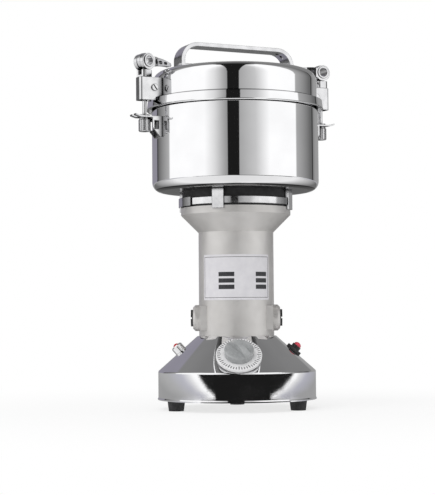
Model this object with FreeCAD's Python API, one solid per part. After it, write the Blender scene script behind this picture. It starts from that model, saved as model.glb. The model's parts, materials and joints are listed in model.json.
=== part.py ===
"""Electric grain mill: round base with timer, motor neck, clamped steel bowl and lid.

Every piece is its own solid and is written to parts/NODE.step, in millimetres, +Z up.
The origin is on the floor, under the centre of the rotor's axis. The front is -Y.
"""
import FreeCAD
import Part
import math
import os

Vector = FreeCAD.Vector
UP = Vector(0, 0, 1)
ORIGIN = Vector(0, 0, 0)

# Heights, from the floor up
foot_height = 10.0
base_band_height = 29.5
cone_height = 36.3
neck_height = 108.2
flare_height = 18.2
collar_rim_height = 7.4
sleeve_height = 17.4
jar_height = 91.7
lid_wall_height = 29.4
handle_rise = 25.0

# Radii of the turned bodies
base_radius = 82.4
base_bend = 2.2
neck_radius = 39.3
neck_ledge = 2.0
jar_radius = 87.5
jar_corner = 10.0
sleeve_radius = 56.0
collar_overhang = 1.5

# Sheet and casting walls
sheet = 1.2
jar_sheet = 1.5
neck_wall = 3.3
plate_sheet = 1.5
sleeve_wall = 4.0

# Clearances
seat_gap = 0.1
moving_gap = 0.3
running_gap = 0.05

# Lid and its seat on the bowl
jar_flange_reach = 3.2
skirt_drop = 6.2
skirt_gap = 0.9
skirt_bead = 0.9
shoulder_rise = 1.8
shoulder_seat = 3.0
lid_step_in = 0.9
lid_corner = 11.0
lid_dome = 3.0
gasket_inset = 0.4

# Handle strap
handle_width = 20.0
handle_thickness = 4.0
handle_half_length = 65.5
handle_corner = 19.0
handle_foot_length = 14.0
rivet_shares = (0.25, 0.62)
rivet_radius = 2.0
rivet_head_radius = 3.6
rivet_head_height = 1.4

# Clamps: where they stand round the bowl and their draw rods
clamp_turn = 26.0
rod_reach = 15.6
rod_radius = 2.2
rod_bore_gap = 0.1

# Clamp box on the lid wall
box_sheet = 1.5
box_half_width = 6.8
box_lift = 6.0
box_height = 23.5
box_end_reach = 7.5
box_bend = 3.0
screw_inset = 8.6
screw_drop = 10.5
screw_radius = 2.0
screw_head_radius = 3.4
screw_head_height = 1.8
screw_slot_width = 1.0
screw_slot_turn = 35.0
screw_nut_height = 2.2
lug_block_height = 11.0
lug_block_reach = 10.5

# Cam lever, its hollow pin and the saddle under it
saddle_height = 7.6
saddle_length = 12.0
saddle_slot = 5.0
saddle_floor = 2.4
saddle_corner_cut = 1.4
cam_radius = 8.4
cam_throw = 0.7
barrel_length = 13.9
eye_radius = 8.2
eye_width = 4.4
pin_bore_radius = 4.65
pin_wall = 0.9
pin_flange_radius = 6.4
pin_flange = 0.7
lever_length = 36.0
lever_bar_width = 5.0
lever_bar_overlap = 1.4
lever_taper_length = 9.0
lever_tip_round = 2.0
lever_hole_rise = 0.5
lever_hole_widths = (5.2, 5.0, 4.5)
lever_hole_heights = (5.0, 3.4, 2.6)
lever_hole_places = (12.6, 20.6, 27.8)
lever_yaw_left = 20.0
lever_yaw_right = 0.0

# Height of the lever's upper and lower edges above the pin, at the cam, midway and at the tip
lever_top = (4.6, 4.9, 1.6)
lever_under = (-6.0, -3.0, -2.6)
lever_nose = -0.5
lever_mid_share = 0.55

# Ear bracket on the bowl and the captive thimble nut
ear_drop = 16.7
ear_sheet = 1.5
ear_half_width = 8.0
ear_reach = 22.5
ear_lip_reach = 6.0
ear_lip_rise = 1.8
ear_slot = 5.0
ear_web_height = 20.0
ear_cheek_reach = 10.0
ear_window_height = 9.0
ear_window_length = 5.0
nut_radius = 6.25
nut_height = 12.8
nut_collar_height = 1.2
nut_neck_radius = 4.0
nut_flange_radius = 5.4
nut_flange_height = 1.4
nut_flutes = 18
nut_flute_radius = 0.45
rod_end_rise = 1.3
nut_chamfer = 0.8

# Band clamp and seat lugs between the collar and the bowl
band_radius = 58.5
band_sheet = 1.2
band_height = 7.0
band_lift = 1.9
buckle_height = 9.2
buckle_sheet = 1.4
buckle_from = 180.0
buckle_to = 219.0
lug_width = 12.3
lug_radius = 60.2
lug_sheet = 1.5
lug_count = 4
lug_turn = -107.6
lug_foot_drop = 3.0

# Fixings that carry the bowl on the collar
bowl_stud_count = 4
bowl_stud_radius = 2.5
bowl_stud_circle = 44.0
bowl_stud_tail = 7.0
bowl_stud_turn = 45.0
bowl_nut_across = 8.0
bowl_nut_height = 3.4

# Feet
foot_count = 3
foot_inset = 10.4
foot_top_radius = 9.0
foot_bottom_radius = 7.7
foot_screw_radius = 2.0
foot_screw_head_radius = 4.2
foot_screw_head_height = 2.4
foot_recess_depth = 5.0
foot_screw_tail = 3.6
foot_nut_across = 7.0
foot_nut_height = 3.2

# Base plate
plate_rim_height = 5.5
vent_slots = 9
vent_width = 3.0
vent_inner_radius = 22.0
vent_outer_radius = 46.0

# Neck fixings
neck_screw_count = 3
neck_screw_radius = 1.25
neck_screw_length = 9.0
neck_screw_head_radius = 2.4
neck_screw_head_height = 1.8

# Brush housings in the neck
brush_height = 18.9
brush_pad_half_width = 25.0
brush_pad_height = 25.0
brush_pad_reach = 38.0
brush_boss_radius = 13.65
brush_boss_length = 7.5
brush_boss_chamfer = 2.5
brush_tube_radius = 7.8
brush_tube_gap = 3.0
brush_width = 7.0
brush_depth = 9.0
brush_length = 13.0
brush_spring_radius = 2.6
brush_spring_wall = 0.7
cap_radius = 8.75
cap_proud = 2.3
cap_plug_length = 4.2
cap_slot_width = 1.6
cap_slot_depth = 1.2

# Motor shaft and bearings
shaft_radius = 6.0
shaft_tail_radius = 4.0
shaft_top_radius = 5.0
lower_bearing_radius = 11.0
lower_bearing_width = 7.0
upper_bearing_radius = 14.0
upper_bearing_width = 8.0
bearing_groove = 0.5
bearing_ring = 2.2
bearing_cup_wall = 3.0
bracket_thickness = 3.0
bearing_plate_thickness = 3.2
ledge_width = 2.8
ledge_depth = 6.5
bracket_window_radius = 7.0
plate_window_radius = 8.5
shaft_tail_length = 1.5

# Motor
stator_gap = 0.3
stator_height = 42.0
stator_lift = 42.2
stator_yoke = 5.6
air_gap = 0.6
armature_radius = 20.9
armature_slots = 12
armature_slot_width = 3.6
armature_slot_depth = 8.6
winding_gap = 0.2
winding_overhang = 11.0
winding_taper = 3.0
winding_inset = 2.0
armature_inset = 2.0
pole_shoe = 1.3
pole_shoe_half_angle = 56.0
pole_neck_half_angle = 32.0
coil_overhang = 8.0
coil_gap = 0.3
commutator_radius = 11.5
commutator_length = 15.0
commutator_bars = 20
commutator_slit = 0.6
commutator_slit_depth = 1.0
fan_radius = 32.0
fan_blades = 9
fan_blade_height = 8.0
fan_blade_sheet = 1.2
fan_hub_radius = 10.0
fan_sweep = 25.0
fan_clearance = 2.8

# Hub that seals the shaft through the bowl floor
hub_tube_radius = 13.9
hub_flange_radius = 22.0
hub_flange = 2.6
hub_height = 9.5
hub_tail = 8.0
hub_nut_across = 38.0
hub_nut_height = 4.6
seal_radius = 10.0
seal_height = 3.0

# Blade stack
blade_shoulder_lift = 18.0
blade_sheet = 2.5
blade_edge = 0.5
blade_boss_rim = 2.0
blade_pitch = 12.0
blade_width = 20.0
blade_tip_width = 13.0
blade_root_half = 22.0
blade_half_length = 72.0
blade_tip_rises = (-9.0, 0.0, 8.0)
blade_turns = (0.0, 60.0, 120.0)
spacer_radius = 9.0
spacer_rims = (3.0, 1.0)
blade_nut_across = 15.0
blade_nut_height = 9.0
blade_nut_body_share = 0.65
blade_nut_dome_share = 0.6
blade_washer = 1.5

# Controls on the sloping top of the base: distance up the slope from its lower edge
dial_up_slope = 24.0
timer_turn = 1.8
lamp_up_slope = 31.4
dial_radius = 23.3
dial_proud = 4.0
dial_sheet = 1.6
knob_radius = 14.8
knob_skirt = 7.5
knob_edge = 1.2
knob_crown = 0.8
knob_height = 13.5
knob_turn = 38.0
knob_wing_width = 9.0
knob_wing_taper = 1.6
knob_wing_inset = 0.6
knob_wing_crown = 6.0
spindle_depth_share = 0.6
spindle_flat_share = 0.6
spindle_radius = 3.0
timer_neck_radius = 5.0
timer_nut_across = 13.0
timer_nut_height = 1.6
timer_radius = 21.0
timer_depth = 22.0
timer_sink = 4.2
bezel_radius = 6.1
bezel_height = 7.6
bezel_neck_radius = 4.6
bezel_tail = 12.0
lens_radius = 3.2
lens_proud = 2.0
reset_flange_across = 16.4
reset_flange_height = 3.0
reset_barrel_radius = 4.95
reset_barrel_height = 3.5
reset_body_depth = 16.0
reset_body_radius = 8.0
button_radius = 3.95
button_gap = 0.1
button_proud = 3.5
button_travel = 2.5
button_dome = 2.2
button_stem = 8.0

# Cord gland and terminal block at the back of the base
gland_height = 14.0
gland_flange_radius = 8.5
gland_flange = 2.6
gland_neck_radius = 6.0
gland_bore_radius = 3.8
gland_tail = 7.0
terminal_length = 34.0
terminal_depth = 14.0
terminal_height = 13.0
terminal_ways = 4
terminal_inset = 34.4
terminal_well_radius = 2.2

# Levels worked out from the heights
z_base = foot_height
z_edge = z_base + base_band_height
z_neck = z_edge + cone_height
z_flare = z_neck + neck_height
z_rim = z_flare + flare_height
z_seat = z_rim + collar_rim_height
z_jar = z_seat + sleeve_height
z_jar_top = z_jar + jar_height
z_skirt = z_jar_top - skirt_drop
z_shoulder = z_jar_top + shoulder_seat
z_lid_wall = z_shoulder + shoulder_rise
z_lid_top = z_lid_wall + lid_wall_height
z_dome = z_lid_top + lid_dome
z_handle = z_dome + handle_rise
z_brush = z_neck + brush_height

# Radii worked out from the walls and gaps
foot_circle = base_radius - foot_inset
terminal_back = base_radius - terminal_inset
cone_top_radius = neck_radius + neck_ledge
neck_bore = neck_radius - neck_wall
collar_radius = sleeve_radius + collar_overhang
jar_flange_radius = jar_radius + jar_flange_reach
skirt_inner = jar_flange_radius + skirt_gap
skirt_radius = skirt_inner + sheet
lid_radius = jar_radius - lid_step_in
rod_circle = jar_radius + rod_reach
stator_radius = neck_bore - stator_gap
pole_bore = armature_radius + air_gap
slope_angle = math.degrees(math.atan2(cone_height, base_radius - cone_top_radius))
ledge_radius = sleeve_radius - sleeve_wall
ledge_bore = ledge_radius - ledge_width
z_ledge = z_seat - ledge_depth


def cylinder(radius, height, base=ORIGIN, axis=UP):
    """Return a round bar that starts at base and runs along axis."""
    return Part.makeCylinder(radius, height, base, axis)


def tube(outer, inner, height, base=ORIGIN, axis=UP):
    """Return a round bar with a through bore."""
    overrun = Vector(axis).normalize()
    bore = cylinder(inner, height + 2, base - overrun, axis)
    return cylinder(outer, height, base, axis).cut(bore)


def block(x_from, x_to, y_from, y_to, z_from, z_to):
    """Return a box between two corners."""
    return Part.makeBox(x_to - x_from, y_to - y_from, z_to - z_from, Vector(x_from, y_from, z_from))


def outline(points):
    """Return a closed face through points that are straight runs, or arcs through a middle point.

    A point is (u, v), or (u, v, mid_u, mid_v) where the run that ends there bends through mid.
    """
    edges = []
    start = Vector(points[-1][0], 0, points[-1][1])
    for point in points:
        end = Vector(point[0], 0, point[1])
        if len(point) == 4:
            middle = Vector(point[2], 0, point[3])
            edges.append(Part.Arc(start, middle, end).toShape())
        elif start.distanceToPoint(end) > 1e-6:
            edges.append(Part.LineSegment(start, end).toShape())
        start = end
    return Part.Face(Part.Wire(edges))


def dome(radius, low, rise):
    """Return an arc from a rim at a radius to the axis, as an outline point."""
    sphere = (radius ** 2 + rise ** 2) / (2 * rise)
    middle = math.asin(radius / sphere) / 2
    top = low + rise
    return (0, top, sphere * math.sin(middle), top - sphere * (1 - math.cos(middle)))


def turned(points):
    """Revolve an outline of (radius, height) points about the rotor's axis."""
    return outline(points).revolve(ORIGIN, UP, 360)


def quarter(centre_u, centre_v, radius, end_degrees, middle_degrees):
    """Return an arc's end and middle as an outline point, about a centre."""
    end = math.radians(end_degrees)
    middle = math.radians(middle_degrees)
    return (
        centre_u + radius * math.cos(end),
        centre_v + radius * math.sin(end),
        centre_u + radius * math.cos(middle),
        centre_v + radius * math.sin(middle),
    )


def around(shape, degrees):
    """Return a copy turned about the rotor's axis."""
    copy = shape.copy()
    copy.rotate(ORIGIN, UP, degrees)
    return copy


def ring_of(shape, count, first=0.0):
    """Return count copies spread evenly about the rotor's axis."""
    return [around(shape, first + 360.0 * index / count) for index in range(count)]


def moved(shape, x, y, z):
    """Return a copy shifted by x, y and z."""
    copy = shape.copy()
    copy.translate(Vector(x, y, z))
    return copy


def polar(radius, degrees, z=0.0):
    """Return the point at a radius and an angle about the rotor's axis."""
    angle = math.radians(degrees)
    return Vector(radius * math.cos(angle), radius * math.sin(angle), z)


def hexagon(across, height, base=ORIGIN):
    """Return a six-sided bar, given the size across its flats."""
    corner = across / math.sqrt(3)
    points = [polar(corner, 60 * index) + base for index in range(7)]
    return Part.Face(Part.makePolygon(points)).extrude(Vector(0, 0, height))


def sector(outer, inner, height, z, from_degrees, to_degrees):
    """Return part of a tube between two angles."""
    span = to_degrees - from_degrees
    solid = Part.makeCylinder(outer, height, Vector(0, 0, z), UP, span)
    solid = solid.cut(Part.makeCylinder(inner, height + 2, Vector(0, 0, z - 1), UP, 360))
    return around(solid, from_degrees)


def on_slope(shape, azimuth, up_slope):
    """Set a shape, built along +Z from the origin, square on the sloping top of the base."""
    copy = shape.copy()
    copy.rotate(ORIGIN, Vector(1, 0, 0), slope_angle)
    angle = math.radians(slope_angle)
    radius = base_radius - up_slope * math.cos(angle)
    height = z_edge + up_slope * math.sin(angle)
    copy.translate(Vector(0, -radius, height))
    return around(copy, azimuth + 90)


def at_timer(shape):
    """Set a shape, built along +Z from the origin, where the timer stands on the slope."""
    return on_slope(shape, front + timer_turn, dial_up_slope)


def at_clamp(shape, side):
    """Set a shape, built with +X away from the axis, at the right or left clamp."""
    turn = clamp_turn if side == "right" else clamp_turn + 180
    return around(shape, turn)


front, right, rear, left = -90.0, 0.0, 90.0, 180.0


# Base: shell, plate, feet and gland

def make_base_shell():
    angle = math.radians(slope_angle)
    inner_edge = z_edge - sheet * math.tan((math.pi / 2 - angle) / 2)
    turn = 90 - slope_angle
    bend_r = base_radius - base_bend
    bend_z = z_edge - base_bend * math.tan(math.radians(turn) / 2)
    inner_bend = base_bend - sheet
    cone_inner_top = base_radius - sheet - (z_neck - sheet - inner_edge) / math.tan(angle)
    lip_bore = neck_bore - 3 * sheet
    shell = turned([
        (base_radius + sheet / 2, z_base),
        (base_radius + sheet / 2, z_base + sheet),
        (base_radius, z_base + 2 * sheet),
        (base_radius, bend_z),
        quarter(bend_r, bend_z, base_bend, turn, turn / 2),
        (cone_top_radius, z_neck),
        (lip_bore, z_neck),
        (lip_bore, z_neck - sheet),
        (cone_inner_top, z_neck - sheet),
        (
            bend_r + inner_bend * math.cos(math.radians(turn)),
            bend_z + inner_bend * math.sin(math.radians(turn)),
        ),
        quarter(bend_r, bend_z, inner_bend, 0, turn / 2),
        (base_radius - sheet, z_base),
    ])
    reach = 4 * sheet
    timer_hole = cylinder(timer_neck_radius + seat_gap, 2 * reach, Vector(0, 0, -reach))
    lamp_hole = cylinder(bezel_neck_radius + seat_gap, 2 * reach, Vector(0, 0, -reach))
    reset_hole = cylinder(reset_barrel_radius + seat_gap, 2 * reach, Vector(0, 0, -reach))
    gland_hole = cylinder(
        gland_neck_radius + seat_gap,
        2 * reach,
        Vector(0, base_radius - reach, z_base + gland_height),
        Vector(0, 1, 0),
    )
    screw_hole = cylinder(
        neck_screw_radius + moving_gap,
        2 * reach,
        Vector(neck_bore + neck_wall / 2, 0, z_neck - reach),
    )
    holes = [
        at_timer(timer_hole),
        on_slope(lamp_hole, left, lamp_up_slope),
        on_slope(reset_hole, right, lamp_up_slope),
        gland_hole,
    ]
    return shell.cut(holes + ring_of(screw_hole, neck_screw_count, rear))


def make_base_plate():
    outer = base_radius - sheet - seat_gap
    top = z_base + plate_sheet
    plate = turned([
        (0, z_base),
        (outer, z_base),
        (outer, top + plate_rim_height),
        (outer - plate_sheet, top + plate_rim_height),
        (outer - plate_sheet, top),
        (0, top),
    ])
    half = vent_width / 2
    vent = block(vent_inner_radius, vent_outer_radius, -half, half, z_base - 1, top + 1)
    for radius in (vent_inner_radius, vent_outer_radius):
        vent = vent.fuse(cylinder(half, plate_sheet + 2, Vector(radius, 0, z_base - 1)))
    screw_hole = cylinder(
        foot_screw_radius + seat_gap,
        plate_sheet + 2,
        Vector(foot_circle, 0, z_base - 1),
    )
    cuts = ring_of(vent, vent_slots, rear) + ring_of(screw_hole, foot_count, rear)
    return plate.cut(cuts)


def make_foot(azimuth):
    centre = Vector(foot_circle, 0, 0)
    foot = Part.makeCone(foot_bottom_radius, foot_top_radius, foot_height, centre, UP)
    foot = foot.cut(cylinder(foot_screw_head_radius + seat_gap, foot_recess_depth, centre))
    foot = foot.cut(cylinder(foot_screw_radius + seat_gap, foot_height, centre))
    return around(foot, azimuth)


def make_foot_screws():
    centre = Vector(foot_circle, 0, foot_recess_depth - foot_screw_head_height)
    head = cylinder(foot_screw_head_radius, foot_screw_head_height, centre)
    shank_top = z_base + plate_sheet + foot_screw_tail
    shank = cylinder(foot_screw_radius, shank_top - centre.z, centre)
    screw = head.fuse(shank)
    nut = hexagon(foot_nut_across, foot_nut_height, Vector(foot_circle, 0, z_base + plate_sheet))
    nut = nut.cut(cylinder(foot_screw_radius, foot_nut_height, Vector(foot_circle, 0, z_base + plate_sheet)))
    return ring_of(screw, foot_count, rear) + ring_of(nut, foot_count, rear)


def make_cord_grommet():
    axis = Vector(0, 1, 0)
    z = z_base + gland_height
    flange = Part.makeCone(
        gland_flange_radius,
        gland_flange_radius - gland_flange / 2,
        gland_flange,
        Vector(0, base_radius, z),
        axis,
    )
    start = base_radius - gland_tail
    neck = cylinder(gland_neck_radius, gland_tail, Vector(0, start, z), axis)
    bore = cylinder(gland_bore_radius, gland_tail + gland_flange + 2, Vector(0, start - 1, z), axis)
    return flange.fuse(neck).cut(bore)


def make_terminal_block():
    floor = z_base + plate_sheet
    half = terminal_length / 2
    body = block(-half, half, terminal_back, terminal_back + terminal_depth, floor, floor + terminal_height)
    pitch = terminal_length / terminal_ways
    wells = []
    for index in range(terminal_ways):
        x = -half + pitch * (index + 0.5)
        well_base = Vector(x, terminal_back + terminal_depth / 2, floor + terminal_height / 2)
        wells.append(cylinder(terminal_well_radius, terminal_height, well_base))
        mouth = Vector(x, terminal_back - 1, floor + terminal_height / 4)
        wells.append(cylinder(terminal_well_radius, terminal_depth / 2, mouth, Vector(0, 1, 0)))
    return body.cut(wells)


# Neck casting with its brush housings and collar

def brush_bar(radius, x_from, x_to):
    """Return a round bar on the brush axis, on the +X side."""
    return cylinder(radius, x_to - x_from, Vector(x_from, 0, z_brush), Vector(1, 0, 0))


def make_neck_casting():
    wall_offset = neck_wall * math.sqrt(2)
    inner_flare_end = ledge_bore
    inner_flare_start_z = z_flare + wall_offset - neck_wall
    inner_flare_end_z = inner_flare_start_z + (inner_flare_end - neck_bore)
    casting = turned([
        (neck_radius, z_neck),
        (neck_radius, z_flare),
        (collar_radius, z_rim),
        (collar_radius, z_seat),
        (ledge_radius, z_seat),
        (ledge_radius, z_ledge),
        (ledge_bore, z_ledge),
        (inner_flare_end, inner_flare_end_z),
        (neck_bore, inner_flare_start_z),
        (neck_bore, z_neck),
    ])
    half = brush_pad_height / 2
    pad = block(
        -brush_pad_reach,
        brush_pad_reach,
        -brush_pad_half_width,
        brush_pad_half_width,
        z_brush - half,
        z_brush + half,
    )
    pad = pad.cut(cylinder(neck_bore + seat_gap, neck_height, Vector(0, 0, z_neck)))
    boss_end = brush_pad_reach + brush_boss_length
    boss = brush_bar(brush_boss_radius, neck_bore, boss_end - brush_boss_chamfer)
    nose = Part.makeCone(
        brush_boss_radius,
        brush_boss_radius - brush_boss_chamfer,
        brush_boss_chamfer,
        Vector(boss_end - brush_boss_chamfer, 0, z_brush),
        Vector(1, 0, 0),
    )
    boss = boss.fuse(nose).cut(cylinder(neck_bore + seat_gap, neck_height, Vector(0, 0, z_neck)))
    bore = brush_bar(brush_tube_radius + seat_gap, neck_bore - neck_wall, boss_end + 1)
    screw_hole = cylinder(
        neck_screw_radius + running_gap,
        neck_screw_length,
        Vector(neck_bore + neck_wall / 2, 0, z_neck - 1),
    )
    casting = casting.fuse([pad, boss, around(boss, 180)])
    holes = [bore, around(bore, 180)] + ring_of(screw_hole, neck_screw_count, rear)
    return casting.cut(holes).removeSplitter()


def make_neck_screws():
    centre = Vector(neck_bore + neck_wall / 2, 0, z_neck - sheet)
    shank = cylinder(neck_screw_radius, neck_screw_length - moving_gap, centre)
    head_base = centre - Vector(0, 0, neck_screw_head_height)
    head = cylinder(neck_screw_head_radius, neck_screw_head_height, head_base)
    return ring_of(shank.fuse(head), neck_screw_count, rear)


# Brush gear

def boss_face():
    return brush_pad_reach + brush_boss_length


def make_brush_holders():
    start = commutator_radius + brush_tube_gap
    end = boss_face() - cap_plug_length - seat_gap
    holder = brush_bar(brush_tube_radius, start, end)
    half_width = brush_width / 2 + seat_gap
    half_depth = brush_depth / 2 + seat_gap
    slot = block(start - 1, end + 1, -half_width, half_width, z_brush - half_depth, z_brush + half_depth)
    holder = holder.cut(slot)
    return [holder, around(holder, 180)]


def make_carbon_brushes():
    start = commutator_radius
    half_width = brush_width / 2
    half_depth = brush_depth / 2
    brush = block(
        start - brush_width / 2,
        start + brush_length,
        -half_width,
        half_width,
        z_brush - half_depth,
        z_brush + half_depth,
    )
    bearing_face = cylinder(
        commutator_radius + moving_gap,
        2 * brush_depth,
        Vector(0, 0, z_brush - brush_depth),
    )
    brush = brush.cut(bearing_face)
    return [brush, around(brush, 180)]


def make_brush_springs():
    start = commutator_radius + brush_length
    end = boss_face() - cap_plug_length - seat_gap
    spring = brush_bar(brush_spring_radius, start, end)
    spring = spring.cut(brush_bar(brush_spring_radius - brush_spring_wall, start - 1, end + 1))
    return [spring, around(spring, 180)]


def make_brush_caps():
    face = boss_face()
    head = brush_bar(cap_radius, face, face + cap_proud)
    plug = brush_bar(brush_tube_radius, face - cap_plug_length, face)
    half = cap_slot_width / 2
    slot = block(
        face + cap_proud - cap_slot_depth,
        face + cap_proud + 1,
        -cap_radius,
        cap_radius,
        z_brush - half,
        z_brush + half,
    )
    cap = head.fuse(plug).cut(slot)
    return [cap, around(cap, 180)]


# Motor bearings, stator and rotor

def lower_bearing_base():
    return z_neck + bracket_thickness


def upper_bearing_base():
    return z_ledge + bearing_plate_thickness - upper_bearing_width


def make_bearing(outer, bore, width, z):
    groove_inner = bore + bearing_ring
    groove_outer = outer - bearing_ring
    return turned([
        (bore, z),
        (groove_inner, z),
        (groove_inner, z + bearing_groove),
        (groove_outer, z + bearing_groove),
        (groove_outer, z),
        (outer, z),
        (outer, z + width),
        (groove_outer, z + width),
        (groove_outer, z + width - bearing_groove),
        (groove_inner, z + width - bearing_groove),
        (groove_inner, z + width),
        (bore, z + width),
    ])


def make_lower_bearing_bracket():
    cup_radius = lower_bearing_radius + bearing_cup_wall
    top = lower_bearing_base() + lower_bearing_width
    pocket = lower_bearing_radius + seat_gap
    bracket = turned([
        (shaft_tail_radius + 1, z_neck),
        (neck_bore - seat_gap, z_neck),
        (neck_bore - seat_gap, z_neck + bracket_thickness),
        (cup_radius, z_neck + bracket_thickness),
        (cup_radius, top),
        (pocket, top),
        (pocket, lower_bearing_base()),
        (shaft_tail_radius + 1, lower_bearing_base()),
    ])
    middle = (cup_radius + neck_bore) / 2
    window = cylinder(bracket_window_radius, 2 * bracket_thickness, Vector(middle, 0, z_neck - 1))
    return bracket.cut(ring_of(window, neck_screw_count, rear))


def make_upper_bearing_plate():
    cup_radius = upper_bearing_radius + bearing_cup_wall
    top = z_ledge + bearing_plate_thickness
    bottom = upper_bearing_base() - 2
    pocket = upper_bearing_radius + seat_gap
    plate = turned([
        (pocket, top),
        (ledge_radius - seat_gap, top),
        (ledge_radius - seat_gap, z_ledge),
        (cup_radius, z_ledge),
        (cup_radius, bottom),
        (shaft_radius + 1, bottom),
        (shaft_radius + 1, upper_bearing_base()),
        (pocket, upper_bearing_base()),
    ])
    middle = (cup_radius + bowl_stud_circle) / 2 + 2
    window = cylinder(plate_window_radius, 3 * bearing_plate_thickness, Vector(middle, 0, z_ledge - 1))
    stud_hole = cylinder(
        bowl_stud_radius + seat_gap,
        2 * bearing_plate_thickness,
        Vector(bowl_stud_circle, 0, z_ledge - 1),
    )
    cuts = ring_of(window, bowl_stud_count, 0) + ring_of(stud_hole, bowl_stud_count, 45)
    return plate.cut(cuts)


def stator_base():
    return z_neck + stator_lift


def make_stator_core():
    base = stator_base()
    yoke = tube(stator_radius, stator_radius - stator_yoke, stator_height, Vector(0, 0, base))
    poles = []
    for azimuth in (front, rear):
        neck = sector(
            stator_radius - stator_yoke / 2,
            pole_bore,
            stator_height,
            base,
            azimuth - pole_neck_half_angle,
            azimuth + pole_neck_half_angle,
        )
        shoe = sector(
            pole_bore + pole_shoe,
            pole_bore,
            stator_height,
            base,
            azimuth - pole_shoe_half_angle,
            azimuth + pole_shoe_half_angle,
        )
        poles += [neck, shoe]
    return yoke.fuse(poles).removeSplitter()


def make_field_coils():
    base = stator_base()
    inner = pole_bore + pole_shoe + coil_gap
    outer = stator_radius - stator_yoke - coil_gap
    coils = []
    for azimuth in (front, rear):
        coil = sector(
            outer,
            inner,
            stator_height + 2 * coil_overhang,
            base - coil_overhang,
            azimuth - pole_shoe_half_angle,
            azimuth + pole_shoe_half_angle,
        )
        window = sector(
            outer + 1,
            inner - 1,
            stator_height + 2 * coil_gap,
            base - coil_gap,
            azimuth - pole_neck_half_angle - 1,
            azimuth + pole_neck_half_angle + 1,
        )
        coils.append(coil.cut(window))
    return coils


def blade_shoulder():
    return z_jar + jar_sheet + blade_shoulder_lift


def blade_level(index):
    """Return the underside of the blade with this place in the stack."""
    return blade_shoulder() + blade_washer + index * blade_pitch


def stack_top():
    return blade_level(len(blade_turns) - 1) + blade_sheet + blade_washer


def make_motor_shaft():
    tail_top = lower_bearing_base() + lower_bearing_width
    bottom = lower_bearing_base() - shaft_tail_length
    top = stack_top() + blade_nut_height / 2
    return turned([
        (0, bottom),
        (shaft_tail_radius - running_gap, bottom),
        (shaft_tail_radius - running_gap, tail_top + moving_gap),
        (shaft_radius - running_gap, tail_top + moving_gap),
        (shaft_radius - running_gap, blade_shoulder()),
        (shaft_top_radius, blade_shoulder()),
        (shaft_top_radius, top),
        (0, top),
    ])


def armature_base():
    return stator_base() + armature_inset


def armature_height():
    return stator_height - 2 * armature_inset


def make_armature_core():
    base = armature_base()
    core = tube(armature_radius, shaft_radius, armature_height(), Vector(0, 0, base))
    half = armature_slot_width / 2
    slot = block(
        armature_radius - armature_slot_depth,
        armature_radius + 1,
        -half,
        half,
        base - 1,
        base + armature_height() + 1,
    )
    return core.cut(ring_of(slot, armature_slots))


def make_armature_winding():
    base = armature_base()
    height = armature_height()
    outer = armature_radius - winding_gap - winding_inset
    inner = shaft_radius + winding_taper
    half = armature_slot_width / 2 - winding_gap
    ends = []
    for z_from, z_to in ((base - winding_overhang, base), (base + height, base + height + winding_overhang)):
        near, far = (z_to, z_from) if z_to == base else (z_from, z_to)
        ends.append(turned([
            (inner, near),
            (outer, near),
            (outer - winding_taper, far),
            (inner, far),
        ]))
    bar = block(
        armature_radius - armature_slot_depth + winding_gap,
        outer,
        -half,
        half,
        base - 1,
        base + height + 1,
    )
    return ends[0].fuse([ends[1]] + ring_of(bar, armature_slots))


def make_commutator():
    base = z_brush - commutator_length / 2
    body = tube(commutator_radius, shaft_radius, commutator_length, Vector(0, 0, base))
    half = commutator_slit / 2
    slit = block(
        commutator_radius - commutator_slit_depth,
        commutator_radius + 1,
        -half,
        half,
        base - 1,
        base + commutator_length + 1,
    )
    return body.cut(ring_of(slit, commutator_bars))


def fan_base():
    """Return the fan's underside, set over the taller of the two windings."""
    winding_top = armature_base() + armature_height() + winding_overhang
    coil_top = stator_base() + stator_height + coil_overhang
    return max(winding_top, coil_top) + fan_clearance


def make_cooling_fan():
    base = fan_base()
    disc = cylinder(fan_radius, fan_blade_sheet, Vector(0, 0, base))
    hub = cylinder(fan_hub_radius, fan_blade_height + fan_blade_sheet, Vector(0, 0, base))
    half = fan_blade_sheet / 2
    blade = block(
        fan_hub_radius - 1,
        fan_radius - 1,
        -half,
        half,
        base,
        base + fan_blade_sheet + fan_blade_height,
    )
    blade.rotate(Vector(fan_hub_radius, 0, 0), UP, fan_sweep)
    blade = blade.common(cylinder(fan_radius, 2 * fan_blade_height, Vector(0, 0, base)))
    fan = disc.fuse([hub] + ring_of(blade, fan_blades))
    bore = cylinder(shaft_radius, 3 * fan_blade_height, Vector(0, 0, base - 1))
    return fan.cut(bore).removeSplitter()


# Blade stack inside the bowl

def blade_section(x, rise, width):
    """Return a bevelled cross section of a blade, square to its length."""
    half = width / 2
    bevel = width / 3
    points = [
        Vector(x, -half, rise),
        Vector(x, half, rise),
        Vector(x, half, rise + blade_edge),
        Vector(x, half - bevel, rise + blade_sheet),
        Vector(x, -half, rise + blade_sheet),
        Vector(x, -half, rise),
    ]
    return Part.makePolygon(points)


def make_blade(rise):
    wing = Part.makeLoft(
        [
            blade_section(0, 0, blade_width),
            blade_section(blade_root_half, 0, blade_width),
        ],
        True,
        True,
    )
    tip = Part.makeLoft(
        [
            blade_section(blade_root_half, 0, blade_width),
            blade_section(blade_half_length, rise, blade_tip_width),
        ],
        True,
        True,
    )
    arm = wing.fuse(tip)
    blade = arm.fuse(around(arm, 180))
    boss = cylinder(spacer_radius + blade_boss_rim, blade_sheet, ORIGIN)
    blade = blade.fuse(boss)
    return blade.cut(cylinder(shaft_top_radius, 4 * blade_sheet, Vector(0, 0, -blade_sheet)))


def make_blades():
    blades = []
    for index, (rise, turn) in enumerate(zip(blade_tip_rises, blade_turns)):
        blade = around(make_blade(rise), turn)
        blades.append(moved(blade, 0, 0, blade_level(index)))
    return blades


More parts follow.
